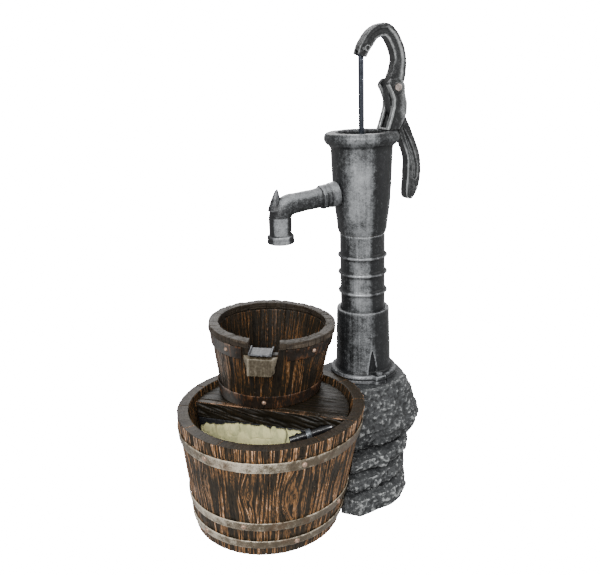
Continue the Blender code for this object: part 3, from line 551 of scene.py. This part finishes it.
# ---------------------------------------------------------------- tub carving
# Each knot is its angle in degrees, its height and its size.
KNOTS = ((236.0, .116, .0135), (264.0, .108, .019), (206.0, .118, .010), (300.0, .095, .012),
         (120.0, .10, .014), (30.0, .09, .013))
SMALL_KNOTS = ((196.0, .245, .006), (300.0, .24, .007))
GRAIN_PITCH = .0032
FRONT_STAVES = ("06", "07", "08", "09", "10", "11")


def grain(u, z, seed, knots):
    """How high the carved grain stands, 0 in a groove to 1 on a crest, bending round each knot."""
    bent = u + 0.0022 * (cloud(stack(u / .02, z / .05, seed), 31, 2) - .5) * 2
    for at, height, size in knots:
        gap = np.hypot((u - at) * 1.25, (z - height) * 0.62)
        pull = np.exp(-(gap / size) ** 2)
        bent = bent * (1 - pull) + (at + gap * 1.1) * pull
        side = np.sign(u - at + 1e-9)
        spread = np.exp(-((z - height) / (size * 2.6)) ** 2)
        spread = spread * np.exp(-(np.abs(u - at) / (size * 2.2)) ** 2)
        bent = bent - side * spread * (1 - pull) * size * 0.45
    coarse = ridges(stack(bent / GRAIN_PITCH, z / .085, seed), 1)
    middle = ridges(stack(bent / (GRAIN_PITCH * .45), z / .05, seed), 2)
    fine = noise(stack(bent / .0013, z / .018, seed), 3)
    calm = cloud(stack(u / .028, z / .05, seed), 44, 2)
    cuts = (0.55 + 0.9 * calm) * coarse ** 3 + 0.55 * middle ** 3 + 0.25 * fine
    return 1 - np.clip(cuts, 0, 1)


def stave_mover(centre_at, count, radius, knots, teeth_from, greying, is_small=False):
    """Grain on a stave's two faces, and a row of short cuts on the outside above teeth_from."""
    def move(co, normals):
        flat = untipped(co) if is_small else co
        out = rounded(flat, centre_at, TUB_SIDES)
        centre = centre_at(flat[:, 2])
        way = out[:, :2] - centre
        reach = np.linalg.norm(way, axis=1)
        way = way / reach[:, None]
        angle = np.degrees(np.arctan2(way[:, 1], way[:, 0])) % 360
        index = np.floor((angle - FIRST_JOINT) % 360 / (360 / count))
        facing = (normals[:, :2] * way).sum(axis=1)
        wall = np.abs(facing) > 0.55
        u = np.radians(angle) * radius
        spots = [(math.radians(a) * radius, z, s) for a, z, s in knots]
        crest = grain(u, flat[:, 2], index + (facing < 0) * 40, spots)
        topside = normals[:, 2] > 0.7
        across = ridges(stack(u / .0034, reach / .022, index), 7)
        crest = np.where(topside, .20 - across ** 4 * .30, crest)
        # Inner faces made darker: painted shade inside the tubs.
        crest = np.where(wall & (facing < 0), crest * .78, crest)
        depth = np.where(wall, 0.0013, 0.0006) * (crest - 0.70)
        flank = (np.abs(facing) < .35) & (np.abs(normals[:, 2]) < .5)
        depth = np.where(flank, .00015, depth)
        upper = wall & (flat[:, 2] > teeth_from) & (facing > 0)
        teeth = ridges(stack(u / .0052, 0.2, 5), 9)
        depth = np.where(upper, depth - 0.0013 * steps(teeth, .78, .95), depth)
        crest = np.where(upper, np.clip(crest * 1.25 * (1 - steps(teeth, .75, .95)), 0, 1), crest)
        co = co + normals * depth[:, None]
        co[:, :2] += out[:, :2] - flat[:, :2]
        return co, {"carve": crest, "tone": greying(angle, flat[:, 2], facing) * (.3 + .7 * crest)}
    return move


def low_side_grey(angle, z, facing):
    """Grey down the left of the low tub."""
    left = np.exp(-((angle - 196) / 26) ** 2)
    return 0.62 * left * (facing > 0)


def small_side_grey_and_strip(angle, z, facing):
    """Grey down the left of the small tub, and a streaked grey strip on its inner wall between 54 and 90
    degrees.
    """
    left = np.exp(-((angle - 190) / 22) ** 2) * (facing > 0)
    band = steps(angle, 54, 63) * (1 - steps(angle, 82, 90)) * (facing < 0)
    streak = noise(stack(angle / .9, z / .03, 2), 3) * .6 + noise(stack(angle / 3.0, z / .02, 4), 6) * .6
    return 0.75 * left + 0.72 * band * streak


low_mover = stave_mover(low_centre, LOW_STAVES, radius=.14, knots=KNOTS, teeth_from=.1765, greying=low_side_grey)
small_mover = stave_mover(small_centre, SMALL_STAVES, radius=.092, knots=SMALL_KNOTS, teeth_from=math.inf,
                          greying=small_side_grey_and_strip, is_small=True)
for node in sorted(NODES):
    if node.startswith("low_stave"):
        voxel, reach = (0.0010, 5) if node[-2:] in FRONT_STAVES else (0.0015, 4)
        piece("tub_" + node, [node], WOOD, low_mover, voxel, soften=1, reach=reach)
    if node.startswith("small_stave"):
        piece("tub_" + node, [node], TUB_WOOD, small_mover, 0.0012, soften=1, reach=4)


def floor_mover(co, normals):
    crest = 1 - ridges(stack(co[:, 0] / .006, co[:, 1] / .09, 0), 5) ** 5
    plank = steps(np.abs(np.mod(co[:, 0] / .036, 1) - .5), .485, .5)
    out = co + normals * (0.0006 * (crest - 1) - 0.0012 * plank)[:, None]
    return out, {"carve": crest * .6, "tone": np.zeros(len(co))}


piece("low_floor_planks", ["low_floor"], WOOD, floor_mover, 0.0024)
piece("small_floor_planks", ["small_floor"], TUB_WOOD, floor_mover, 0.0018)


def hoop_mover(centre_at, is_small=False, cut=0):
    """Hammered dents, and on the small tub grain as on its staves; cut sets each hoop's own dents."""
    def move(co, normals):
        flat = untipped(co) if is_small else co
        out = rounded(flat, centre_at, TUB_SIDES)
        dents = cloud(out / .011, 21 + cut, 3) - .5
        pits = cloud(out / .0035, 27, 2) - .5
        angle = np.degrees(np.arctan2(*(out[:, :2] - centre_at(out[:, 2])).T[::-1])) % 360
        # left: more pale paint on the front-left of each hoop, a painted highlight where the key light falls
        left = np.exp(-((angle - (228 if cut == 1 else 198)) / 26) ** 2)
        lines = ridges(stack(np.radians(angle) * .09 / .0028, out[:, 2] / .03, 1), 4) ** 3 if is_small else 0
        co = co + normals * (0.0010 * dents + 0.0004 * pits - 0.0005 * lines)[:, None]
        co[:, :2] += out[:, :2] - flat[:, :2]
        return co, {"carve": dents + .55 - .4 * lines, "tone": (0.0 if is_small else 0.30) + 0.60 * left}
    return move


for number in (1, 2, 3):
    piece(f"low_band_{number}", [f"low_hoop_{number}"], HOOP, hoop_mover(low_centre, cut=number),
          0.0010, soften=1)
for node in ("small_hoop_lower", "small_hoop_upper"):
    piece(node + "_band", [node], DARK_HOOP, hoop_mover(small_centre, True), 0.0010, soften=1)


def rim_mover(co, normals):
    flat = untipped(co)
    out = rounded(flat, small_centre, TUB_SIDES)
    way = out[:, :2] - small_centre(out[:, 2])
    reach = np.linalg.norm(way, axis=1)
    angle = np.arctan2(way[:, 1], way[:, 0])
    run = angle * .1
    crest = 1 - ridges(stack(run / .030, reach / .0022, out[:, 2] / .0035), 3) ** 4
    crack = ridges(stack(run / .012, reach / .012, out[:, 2] / .02), 8) ** 10
    seam = np.zeros(len(co))
    for k in range(SMALL_STAVES):
        joint = math.radians(FIRST_JOINT + 360 / SMALL_STAVES * k + 22)
        off = np.abs(np.mod(angle - joint + math.pi, 2 * math.pi) - math.pi) * reach
        seam = np.maximum(seam, 1 - steps(off, .0004, .0014))
    dents = cloud(out / .008, 5, 2) - .5
    depth = -0.0008 * (1 - crest) - 0.0014 * crack - 0.0009 * seam + 0.0010 * dents
    turn = np.degrees(angle) % 360
    pale = np.exp(-((turn - 150) / 60) ** 2)
    co = co + normals * depth[:, None]
    co[:, :2] += out[:, :2] - flat[:, :2]
    facing = (normals[:, :2] * way).sum(axis=1) / reach
    up = normals[:, 2] > .6
    # shade: the inner face gets almost no copper, painted shade inside the tub
    shade = np.where(up, .38, np.where(facing < 0, .05, .42 + .5 * cloud(out / .006, 9, 2)))
    marks = {"carve": crest * shade * (1 - crack) * (1 - seam), "tone": np.where(up, .55 + .45 * pale, 0)}
    return co, marks


piece("small_rim_ring", ["small_rim"], RIM, rim_mover, 0.0010, soften=1, reach=4)


# ---------------------------------------------------------------- deck, partition and spillway
def plank_mover(co, normals):
    along = co[:, :2] @ DECK_ALONG
    ahead = co[:, :2] @ DECK_AHEAD
    crest = 1 - ridges(stack(ahead / .0050, along / .10, co[:, 2] / .006), 12) ** 4
    fine = noise(stack(ahead / .0016, along / .03, co[:, 2] / .002), 4)
    out = co + normals * (0.0009 * (crest - 1) + 0.0004 * (fine - .5))[:, None]
    return out, {"carve": crest * .40 + fine * .25, "tone": np.zeros(len(co))}


def beam_mover(co, normals):
    along = co[:, :2] @ DECK_ALONG
    slant = co[:, 2] + 0.25 * along
    chips = cloud(stack(along / .018, co[:, 2] / .006, 1), 17, 3)
    crest = 1 - ridges(stack(along / .050, slant / .0042, 2), 14) ** 3
    face = (normals[:, :2] @ DECK_AHEAD) > .5
    depth = np.where(face, 0.0016 * (crest - .95) + 0.0022 * (chips - .62), 0.0008 * (crest - 1))
    dark = np.where(face, crest * .38 + .1 * chips, crest * .75)
    # edge: the beam's top strip painted light, a painted highlight along its top edge
    edge = steps(co[:, 2], *BEAM_TOP_HIGHLIGHT) * (.35 + .9 * chips)
    return co + normals * depth[:, None], {"carve": np.maximum(dark, edge), "tone": face * .25}


# Heights of the black edge along the board: black paint, and painted shade under the beam.
PAINT_AND_SHADE_EDGE = ((-.13, -.096, -.069, -.04, .02, .13), (.1435, .1500, .1535, .1575, .1570, .1545))


def board_mover(co, normals):
    """Cream below a ragged edge and black paint above it, the black partly standing in for the shade under the
    beam, with drips, a seam and cracks.
    """
    along = (co[:, :2] - LOW_RIM) @ DECK_ALONG
    ragged = 0.0055 * (cloud(stack(along / .007, 0, 0), 3, 4) - .5) * 2
    covered = np.interp(along, *PAINT_AND_SHADE_EDGE) + ragged
    paint = steps(co[:, 2], covered - .0013, covered + .0013)
    seam = np.exp(-((along + .002 * np.sin(co[:, 2] * 160) - .026) / .0014) ** 2)
    drips = steps(noise(stack(along / .0035, co[:, 2] / .02, 2), 6), .72, .86)
    drips = drips * steps(co[:, 2], covered - .022, covered)
    crack = ridges(stack(along / .022, co[:, 2] / .02, 3), 9) ** 30
    lumps = cloud(stack(along / .012, co[:, 2] / .012, 4), 12, 3) - .5
    ledge = steps(co[:, 2], .098, .101) * steps(-along, -.02, 0)
    depth = 0.0012 * lumps - 0.0010 * seam - 0.0006 * crack
    depth = depth + 0.0010 * paint * noise(co / .003, 4) - .0008 * ledge
    tone = np.clip(paint + seam * .85 + drips * .6, 0, 1)
    return co + normals * depth[:, None], {"carve": 1 - .8 * crack - .5 * seam, "tone": tone}


piece("deck_plank", ["deck_board"], PLANK, plank_mover, 0.0013)
piece("deck_front_beam", ["deck_beam"], PLANK, beam_mover, 0.0011)
piece("partition_panel", ["partition_board"], CREAM, board_mover, 0.0012)


def spill_mover(co, normals):
    out = np.array((math.cos(SPILL), math.sin(SPILL)))
    across = (co[:, :2] - SMALL_RIM) @ np.array((-out[1], out[0]))
    away = (co[:, :2] - SMALL_RIM) @ out
    crest = noise(stack(across / .0018, away / .03, co[:, 2] / .012), 5)
    lumps = cloud(co / .006, 6, 3) - .5
    # The cheeks beside the chute are painted lighter, a painted highlight where they catch the light from
    # above.
    cheek_highlight = steps(np.abs(across + .004), .0165, .0195)
    depth = 0.0005 * (crest - .5) + 0.0008 * lumps
    return co + normals * depth[:, None], {"carve": crest, "tone": .2 * crest + .8 * cheek_highlight}


def trough_mover(co, normals):
    """The chute's sides pressed down to low ridges over its floor, then carved as the lip is."""
    flat = untipped(co)
    over = flat[:, 2] - CHUTE_FLOOR
    low = np.where(over > 0, CHUTE_FLOOR + over * .22, flat[:, 2])
    out = co.copy()
    out[:, 2] += low - flat[:, 2]
    return spill_mover(out, normals)


piece("spill_trough", ["spillway_chute"], CHUTE, trough_mover, 0.0008)
piece("spill_corbel", ["spillway_lip"], LIP, spill_mover, 0.0009)


# ---------------------------------------------------------------- rivets
def rivet(name, centre, normal, size):
    """A slightly dented dome on a hoop."""
    profile = [(0.0, -0.45), (0.92, -0.45), (1.0, -0.12), (0.96, 0.16), (0.78, 0.42),
               (0.5, 0.6), (0.24, 0.67), (0.0, 0.69)]
    mesh = turned_mesh([(r * size, z * size) for r, z in profile], 28)
    turn = Vector((0, 0, 1)).rotation_difference(Vector(normal)).to_matrix().to_4x4()
    mesh.transform(Matrix.Translation(Vector(centre)) @ turn)

    def dent(co, normals):
        return co + normals * (0.0005 * (cloud(co / .0028, len(name), 2) - .5))[:, None], {}

    return piece(name, [], RIVET, dent, size * 0.11, meshes=[mesh], soften=1)


def on_low(angle, z):
    """A point on a hoop of the low tub, and the way out of it."""
    a = math.radians(angle)
    centre = LOW_RIM + LOW_LEAN * (1 - z / LOW_TOP)
    reach = low_radius(z) + HOOP_PROUD
    way = (math.cos(a), math.sin(a))
    return (centre[0] + way[0] * reach, centre[1] + way[1] * reach, z), (way[0], way[1], -.15)


def on_small(angle, z):
    a = math.radians(angle)
    share = small_share(z)
    centre = SMALL_RIM + SMALL_LEAN * (1 - share)
    reach = SMALL_FOOT_RADIUS + SMALL_FLARE * share + HOOP_PROUD
    way = np.array((math.cos(a), math.sin(a)))
    spot = centre + way * reach
    drop = TIP * max(share, 0) * float((spot - SMALL_RIM) @ TIP_WAY)
    return (spot[0], spot[1], z - drop), (way[0], way[1], -.16)


LOW_RIVETS = ((208, .1675), (268, .1660), (232, .0570), (305, .0570), (199, .0225), (269, .0225),
              (88, .1665), (28, .1665), (150, .0570), (60, .0570), (100, .0225), (20, .0225))
SMALL_RIVETS = ((204, .2850), (289, .2850), (242, .2000), (120, .2850), (40, .2850), (75, .2000))
for k, (angle, z) in enumerate(LOW_RIVETS):
    rivet(f"low_rivet_{k + 1}", *on_low(angle, z), .0043)
for k, (angle, z) in enumerate(SMALL_RIVETS):
    rivet(f"small_rivet_{k + 1}", *on_small(angle, z), .0036)


# ---------------------------------------------------------------- pedestal
def stone_mover(seed):
    """Broken rock, calm on its mounting faces and where the low tub stands against it."""
    def move(co, normals):
        big = cloud(co / .026, seed, 4) - .5
        chips = np.abs(2 * cloud(co / .020, seed + 4, 3) - 1)
        crags = cloud(stack(co[:, 0] / .022, co[:, 1] / .022, co[:, 2] / .011), seed + 8, 4) - .5
        depth = 0.0085 * big + 0.0070 * chips - 0.0016 + 0.0085 * crags
        depth = depth * np.where(np.abs(normals[:, 2]) > .8, .35, 1.0)
        low = steps(co[:, 2], 0.0, .006)
        top = 1 - steps(co[:, 2], .183, .189) * (normals[:, 2] > .5)
        depth = depth * low * top
        depth = np.minimum(depth, .0030)
        tub = np.linalg.norm(co[:, :2] - low_centre(co[:, 2]), axis=1) - low_radius(co[:, 2])
        depth = depth * steps(tub, .004, .012)
        grit = 0.0022 * (cloud(co / .0050, seed + 2, 3) - .5) * low
        return co + normals * (depth + grit * steps(tub, .004, .008))[:, None], {"tone": big + .5}
    return move


for k, node in enumerate(("stone_top", "stone_upper", "stone_middle", "stone_foot")):
    piece(node + "_rock", [node], STONE, stone_mover(40 + 9 * k), 0.0018, soften=3, reach=5)


# ---------------------------------------------------------------- pump castings
def brushed(co):
    """Silver brushed paint and a painted highlight: a broad upright band at the front, where the highlight
    falls, and fainter ones behind.
    """
    turn = np.degrees(np.arctan2(co[:, 1], co[:, 0])) % 360
    edge = 16 * (cloud(stack(turn / 60, co[:, 2] / .022, 3), 15, 3) - .5)
    # band: the front band is a painted highlight laid over the brushed silver
    band = steps(turn + edge, 188, 232) * (1 - steps(turn + edge * .5, 256, 274))
    band = band * (.72 + .55 * (cloud(co / .03, 19, 3) - .5) * 2)
    faint = 0.55 * np.exp(-((turn - 318) / 12) ** 2) + 0.6 * np.exp(-((turn - 60) / 26) ** 2)
    faint += 0.5 * np.exp(-((turn - 140) / 22) ** 2)
    streak = cloud(stack(turn / 3.2, co[:, 2] / .06, 1), 5, 3) - .5
    low = 1 - .38 * (1 - steps(co[:, 2], .30, .34))
    low = low * (1 - .42 * steps(co[:, 2], .578, .586))
    return np.clip((band + faint * .8) * low + .45 * streak, 0, 1)


def cast_mover(seed):
    """A round casting with shallow dents and a pitted skin."""
    def move(co, normals):
        out = rounded(co, pump_axis, PUMP_SIDES)
        dents = cloud(out / .013, seed, 3) - .5
        pits = cloud(out / .0032, seed + 5, 2) - .5
        depth = 0.0010 * dents + 0.00035 * pits
        # tone: brushed silver together with the painted highlight bands
        return out + normals * depth[:, None], {"tone": brushed(out) * .9}
    return move


def base_mover(co, normals):
    """The base casting, with a pointed arch sunk in its front and a step round its flange."""
    out, marks = cast_mover(61)(co, normals)
    turn = np.degrees(np.arctan2(out[:, 1], out[:, 0])) % 360
    side = np.abs(turn - ARCH_ANGLE) / 57.3 * .046
    high = np.clip((out[:, 2] - ARCH_FOOT) / ARCH_HEIGHT, 0, 1)
    half = ARCH_HALF * (1 - high ** 1.5)
    arch = (1 - steps(side, half - .0004, half + .0014)) * (high > 0) * (high < 1)
    arch = arch * (np.linalg.norm(out[:, :2], axis=1) > .042)
    way = stack(out[:, 0], out[:, 1], 0 * out[:, 0])
    way = way / np.linalg.norm(way, axis=1)[:, None]
    out = out - way * (0.0026 * arch)[:, None]
    tier = np.exp(-((out[:, 2] - FLANGE_TIER) / .0009) ** 2) * (np.linalg.norm(out[:, :2], axis=1) > .053)
    out = out - way * (0.0012 * tier)[:, None]
    # The sunk arch keeps no silver, painted shade in the recess; the flange step keeps a fifth of its silver.
    marks["tone"] = marks["tone"] * (1 - arch) * (1 - .8 * tier)
    return out, marks


piece("pump_body_casting", ["pump_body"], IRON, cast_mover(51), 0.0013, soften=2)
piece("column_casting", ["column_pipe"], IRON, cast_mover(56), 0.0013, soften=1)
piece("base_casting", ["pump_base"], IRON, base_mover, 0.0013, soften=1)


def arm_point(x):
    return Vector((x, 0, ARM_Z + (x - ARM_X) * ARM_RISE))


def spout_meshes():
    """The hollow spout, from its collar round the elbow to the nozzle, and the horn on the elbow."""
    path, outer, inner = [], [], []

    def station(point, radius, bore):
        path.append(point)
        outer.append(radius)
        inner.append(bore)

    for x, radius in ((-.0460, .0206), (-.052, .0203), (-.0585, .0198), (-.0596, .0188),
                      (-.0615, .0186), (-.0626, .0194), (-.0660, .0194), (-.0672, .0184),
                      (-.0690, .0184), (-.0700, .0194), (-.0735, .0192), (-.0752, .0182),
                      (-.0757, .0162), (-.085, .0158), (-.100, .0158), (-.111, .0160),
                      (-.119, .0162)):
        station(arm_point(x), radius, .0115)
    bend = .0225
    middle = arm_point(NOZZLE_X + bend) + Vector((0, 0, -bend))
    slope = math.atan(ARM_RISE)
    for k in range(13):
        turn = slope + (math.pi / 2 - slope) * k / 12
        station(middle + Vector((-math.sin(turn), 0, math.cos(turn))) * bend, .0166 + .0015 * k / 12, .0120)
    for z, radius in ((.472, .0180), (.464, .0179), (.4545, .0178), (.4535, .0204),
                      (.4520, .0213), (.4485, .0214), (.4480, .0209), (.4465, .0209),
                      (.4460, .0214), (.4425, .0214), (.4405, .0206), (.440, .0196)):
        station(Vector((path[-1].x, 0, z)), radius, .0127)
    horn = []
    radii = []
    for k in range(13):
        t = k / 12
        horn.append(Vector((-.1512 + .0036 * t * t, 0, .4925 + .0336 * t)))
        radii.append(.0112 * (1 - t) ** .85 + .0014)
    return [tube_mesh(path, outer, inner), tube_mesh(horn, radii, None, 28)]


def spout_mover(co, normals):
    dents = cloud(co / .010, 71, 3) - .5
    pits = cloud(co / .003, 75, 2) - .5
    # front and upper: more silver on the faces toward the front and on top, brushed paint and a painted
    # highlight
    front = steps(-normals[:, 1], .25, .75) * (1 - steps(normals[:, 0], .15, .5))
    front = front * (1 - steps(-normals[:, 0], .75, .95))
    upper = steps(normals[:, 2], .2, .75)
    root = np.exp(-((co[:, 0] + .053) / .006) ** 2)
    tone = np.where(co[:, 2] < .482, front, upper * .85 + front * .25) + root * .55
    return co + normals * (0.0008 * dents + 0.0003 * pits)[:, None], {"tone": tone * .72}


piece("spout_casting", ["spout"], IRON, spout_mover, 0.0010, soften=2, meshes=spout_meshes())


# ---------------------------------------------------------------- lever, post, rod
def lever_mover(co, normals):
    """A sunk panel along the hook, a ring round its eye and a groove down the grip."""
    spot = co[:, [0, 2]]
    gap, place = near_line(spot, LEVER_LINE)
    half = np.interp(place, np.arange(len(LEVER_LINE)), LEVER_LINE[:, 2]) / 2
    share = gap / half
    face = np.abs(normals[:, 1]) > .7
    slot_gap, slot_place = near_line(spot, GRIP_SLOT)
    slot_half = np.interp(slot_place, np.arange(5), (.0008, .0026, .0036, .0040, .0036))
    groove = 1 - steps(slot_gap, slot_half - .0006, slot_half + .0008)
    step = np.clip(place.astype(int), 0, len(LEVER_LINE) - 2)
    run = LEVER_LINE[step + 1, :2] - LEVER_LINE[step, :2]
    away = spot - LEVER_LINE[step, :2]
    outer = share * np.sign(run[:, 0] * away[:, 1] - run[:, 1] * away[:, 0])
    hook = 1 - steps(place, 8.6, 9.6)
    panel = hook * steps(outer, -.62, -.42) * (1 - steps(outer, .05, .35))
    eye = np.linalg.norm(spot - HOOK_EYE, axis=1)
    ring = 1 - steps(np.abs(eye - .0041), .0007, .0016)
    panel = panel * steps(eye, .0050, .0062)
    dents = cloud(co / .009, 81, 3) - .5
    pits = cloud(co / .003, 85, 2) - .5
    depth = 0.0007 * dents + 0.0003 * pits + face * (0.0008 * ring - 0.0011 * panel - 0.0026 * groove)
    far = steps(place, 4.0, 6.0)
    inner_line = np.exp(-((outer + .80) / .14) ** 2) * hook
    outer_line = np.exp(-((outer - .88) / .10) ** 2) * hook * (1 - far)
    silver = np.exp(-((outer - .38) / .26) ** 2) * far * (1 - steps(place, 13, 15))
    grip = steps(place, 15, 17) * (np.exp(-((outer + .85) / .12) ** 2) + .25)
    tone = face * (.75 * inner_line + .5 * outer_line + .95 * silver + .75 * grip + .25 * groove) + .1
    tone = tone * .85 + .3 * (~face) * (normals[:, 0] > .3) + .3 * ring * face
    return co + normals * depth[:, None], {"tone": tone}


def post_mover(co, normals):
    """Raised ribs up the post's cheek, a hollow beside them and a disc round the bolt."""
    spot = co[:, [0, 2]]
    face = np.abs(normals[:, 1]) > .7
    gap, _ = near_line(spot, POST_RIB)
    rib = 1 - steps(gap, .0012, .0028)
    boss = np.linalg.norm(spot - FULCRUM, axis=1)
    disc = 1 - steps(boss, .0078, .0090)
    hollow = np.exp(-((gap - .0062) / .0022) ** 2) * steps(boss, .0095, .0110)
    hollow = hollow * (1 - steps(co[:, 2], .660, .664))
    dents = cloud(co / .008, 91, 3) - .5
    depth = 0.0007 * dents + face * (0.0007 * rib + 0.0006 * disc - 0.0012 * hollow)
    tone = .12 + .60 * rib + .1 * disc - .3 * hollow + .45 * steps(spot[:, 0], .056, .066)
    return co + normals * depth[:, None], {"tone": tone}


piece("lever_casting", ["handle"], LEVER_IRON, lever_mover, 0.0008, "handle", 3)
piece("post_casting", ["fulcrum_post"], LEVER_IRON, post_mover, 0.0007, soften=3)


def small_mover_for(seed, amount=0.0003):
    """A faint unevenness for small parts."""
    def move(co, normals):
        return co + normals * (amount * (cloud(co / .004, seed, 2) - .5))[:, None], {}
    return move


piece("fulcrum_bolt_head", ["fulcrum_bolt"], BOLT, small_mover_for(3), 0.0005, soften=2)
piece("fulcrum_hex_nut", ["fulcrum_nut"], BOLT, small_mover_for(4), 0.0005, soften=1)
piece("hook_cross_pin", ["hook_pin"], LEVER_IRON, small_mover_for(5), 0.0004, "handle", 2)
piece("rod_bar", ["piston_rod"], ROD, small_mover_for(6, .0002), 0.0006, "rod", 3)
for word in ("front", "rear"):
    node = f"base_bolt_{word}"
    piece(node + "_head", [node], IRON, small_mover_for(7), 0.0005, soften=2)
for node, look, slot, body in (("plunger", BRASS, "brass", "plunger"),
                               ("cup_leather", LEATHER, "leather", "plunger"),
                               ("plunger_valve", BRASS, "brass", "plunger_valve"),
                               ("cylinder_liner", BRASS, "brass", "root"),
                               ("foot_valve_seat", BRASS, "brass", "root"),
                               ("foot_valve_flap", LEATHER, "leather", "foot_flap")):
    piece(node + "_part", [node], look, small_mover_for(8, .0001), 0.0011, body, 1)

# ---------------------------------------------------------------- water pipes
MOUTH, EXIT = Vector((-.187, -.107, .155)), Vector((-.128, -.120, .168))
towards = Vector((-.969, -.245, 0)).normalized()
along = (EXIT - MOUTH).normalized()
corner = EXIT + along * .010
end = towards * (.0740 + .0003) + Vector((0, 0, .150))
route = [MOUTH, MOUTH.lerp(EXIT, .5), EXIT, corner, corner + Vector((.0105, .0045, .0005)),
         corner + Vector((.0160, .0160, -.0010)), Vector((-.098, -.078, .1600)), Vector((-.095, -.045, .1540)),
         end + towards * .012]
route = curved(route, 6) + [end]
piece("inlet_tube", ["inlet_pipe"], PIPE, small_mover_for(9, .0002), 0.0007, soften=1,
      meshes=[tube_mesh(route, [PIPE_OUTER] * len(route), [PIPE_BORE] * len(route), 32)])
piece("riser_tube", ["riser_pipe"], PIPE, small_mover_for(9, .0002), 0.0010, soften=2)
piece("pipe_collar_ring", ["pipe_collar"], PIPE, small_mover_for(9, .0002), 0.0004, soften=2)
piece("pipe_clip_ring", ["pipe_clip"], CLIP, small_mover_for(9, .0002), 0.0005, soften=2)


# ---------------------------------------------------------------- floor, light and camera
def glowing(bm, name, colour):
    """A stage piece that looks plain white to the camera and lights nothing."""
    made = linked(name, mesh_of(bm, name))
    look = Look(name + "_white")
    made.data.materials.append(look.finish(colour, .9, 0.0, None, 0, .1))
    look.shader.inputs["Emission Color"].default_value = (1.0, 1.0, 1.0, 1.0)
    look.shader.inputs["Emission Strength"].default_value = STUDIO_WHITE
    made.visible_diffuse = False
    made.visible_glossy = False
    return made


def floor():
    bm = bmesh.new()
    bmesh.ops.create_grid(bm, x_segments=8, y_segments=8, size=30)
    glowing(bm, "floor", (.945, .945, .945)).location = (0, 0, -.0005)


def backdrop():
    bm = bmesh.new()
    bmesh.ops.create_icosphere(bm, subdivisions=4, radius=25)
    glowing(bm, "backdrop", (.9, .9, .9)).visible_shadow = False


def area_light(name, place, target, size, tall, power):
    data = bpy.data.lights.new(name, "AREA")
    data.shape = "RECTANGLE"
    data.size, data.size_y = size, tall
    data.energy = power
    made = bpy.data.objects.new(name, data)
    made.location = place
    made.rotation_euler = (Vector(target) - Vector(place)).to_track_quat("-Z", "Y").to_euler()
    bpy.context.scene.collection.objects.link(made)


floor()
backdrop()
area_light("key", (-1.35, -1.7, 1.7), (-.1, 0, .3), .8, 1.3, 75)
area_light("fill", (1.9, -1.3, 1.2), (-.1, 0, .3), 1.4, 1.6, 26)
area_light("back", (.6, 2.2, 1.8), (-.1, 0, .3), 1.8, 1.4, 36)

world = bpy.data.worlds.new("studio")
bpy.context.scene.world = world
world.use_nodes = True
sky = world.node_tree.nodes["Background"]
sky.inputs["Color"].default_value = (1.0, 1.0, 1.0, 1.0)
sky.inputs["Strength"].default_value = 0.70

yaw, pitch, roll = math.radians(23.0), math.radians(17.63), math.radians(-2.06)
level = Vector((math.sin(yaw), math.cos(yaw), 0))
right = Vector((math.cos(yaw), -math.sin(yaw), 0))
forward = level * math.cos(pitch) - Vector((0, 0, math.sin(pitch)))
upward = level * math.sin(pitch) + Vector((0, 0, math.cos(pitch)))
side = right * math.cos(roll) + upward * math.sin(roll)
head = upward * math.cos(roll) - right * math.sin(roll)
lens = bpy.data.cameras.new("camera")
lens.lens = 42.22
lens.sensor_width = 36.0
lens.clip_end = 200
camera = bpy.data.objects.new("camera", lens)
turn = Matrix((side, head, -forward)).transposed()
camera.matrix_world = Matrix.Translation((-.5405, -1.0022, .7081)) @ turn.to_4x4()
bpy.context.scene.collection.objects.link(camera)
bpy.context.scene.camera = camera

bpy.context.view_layer.update()
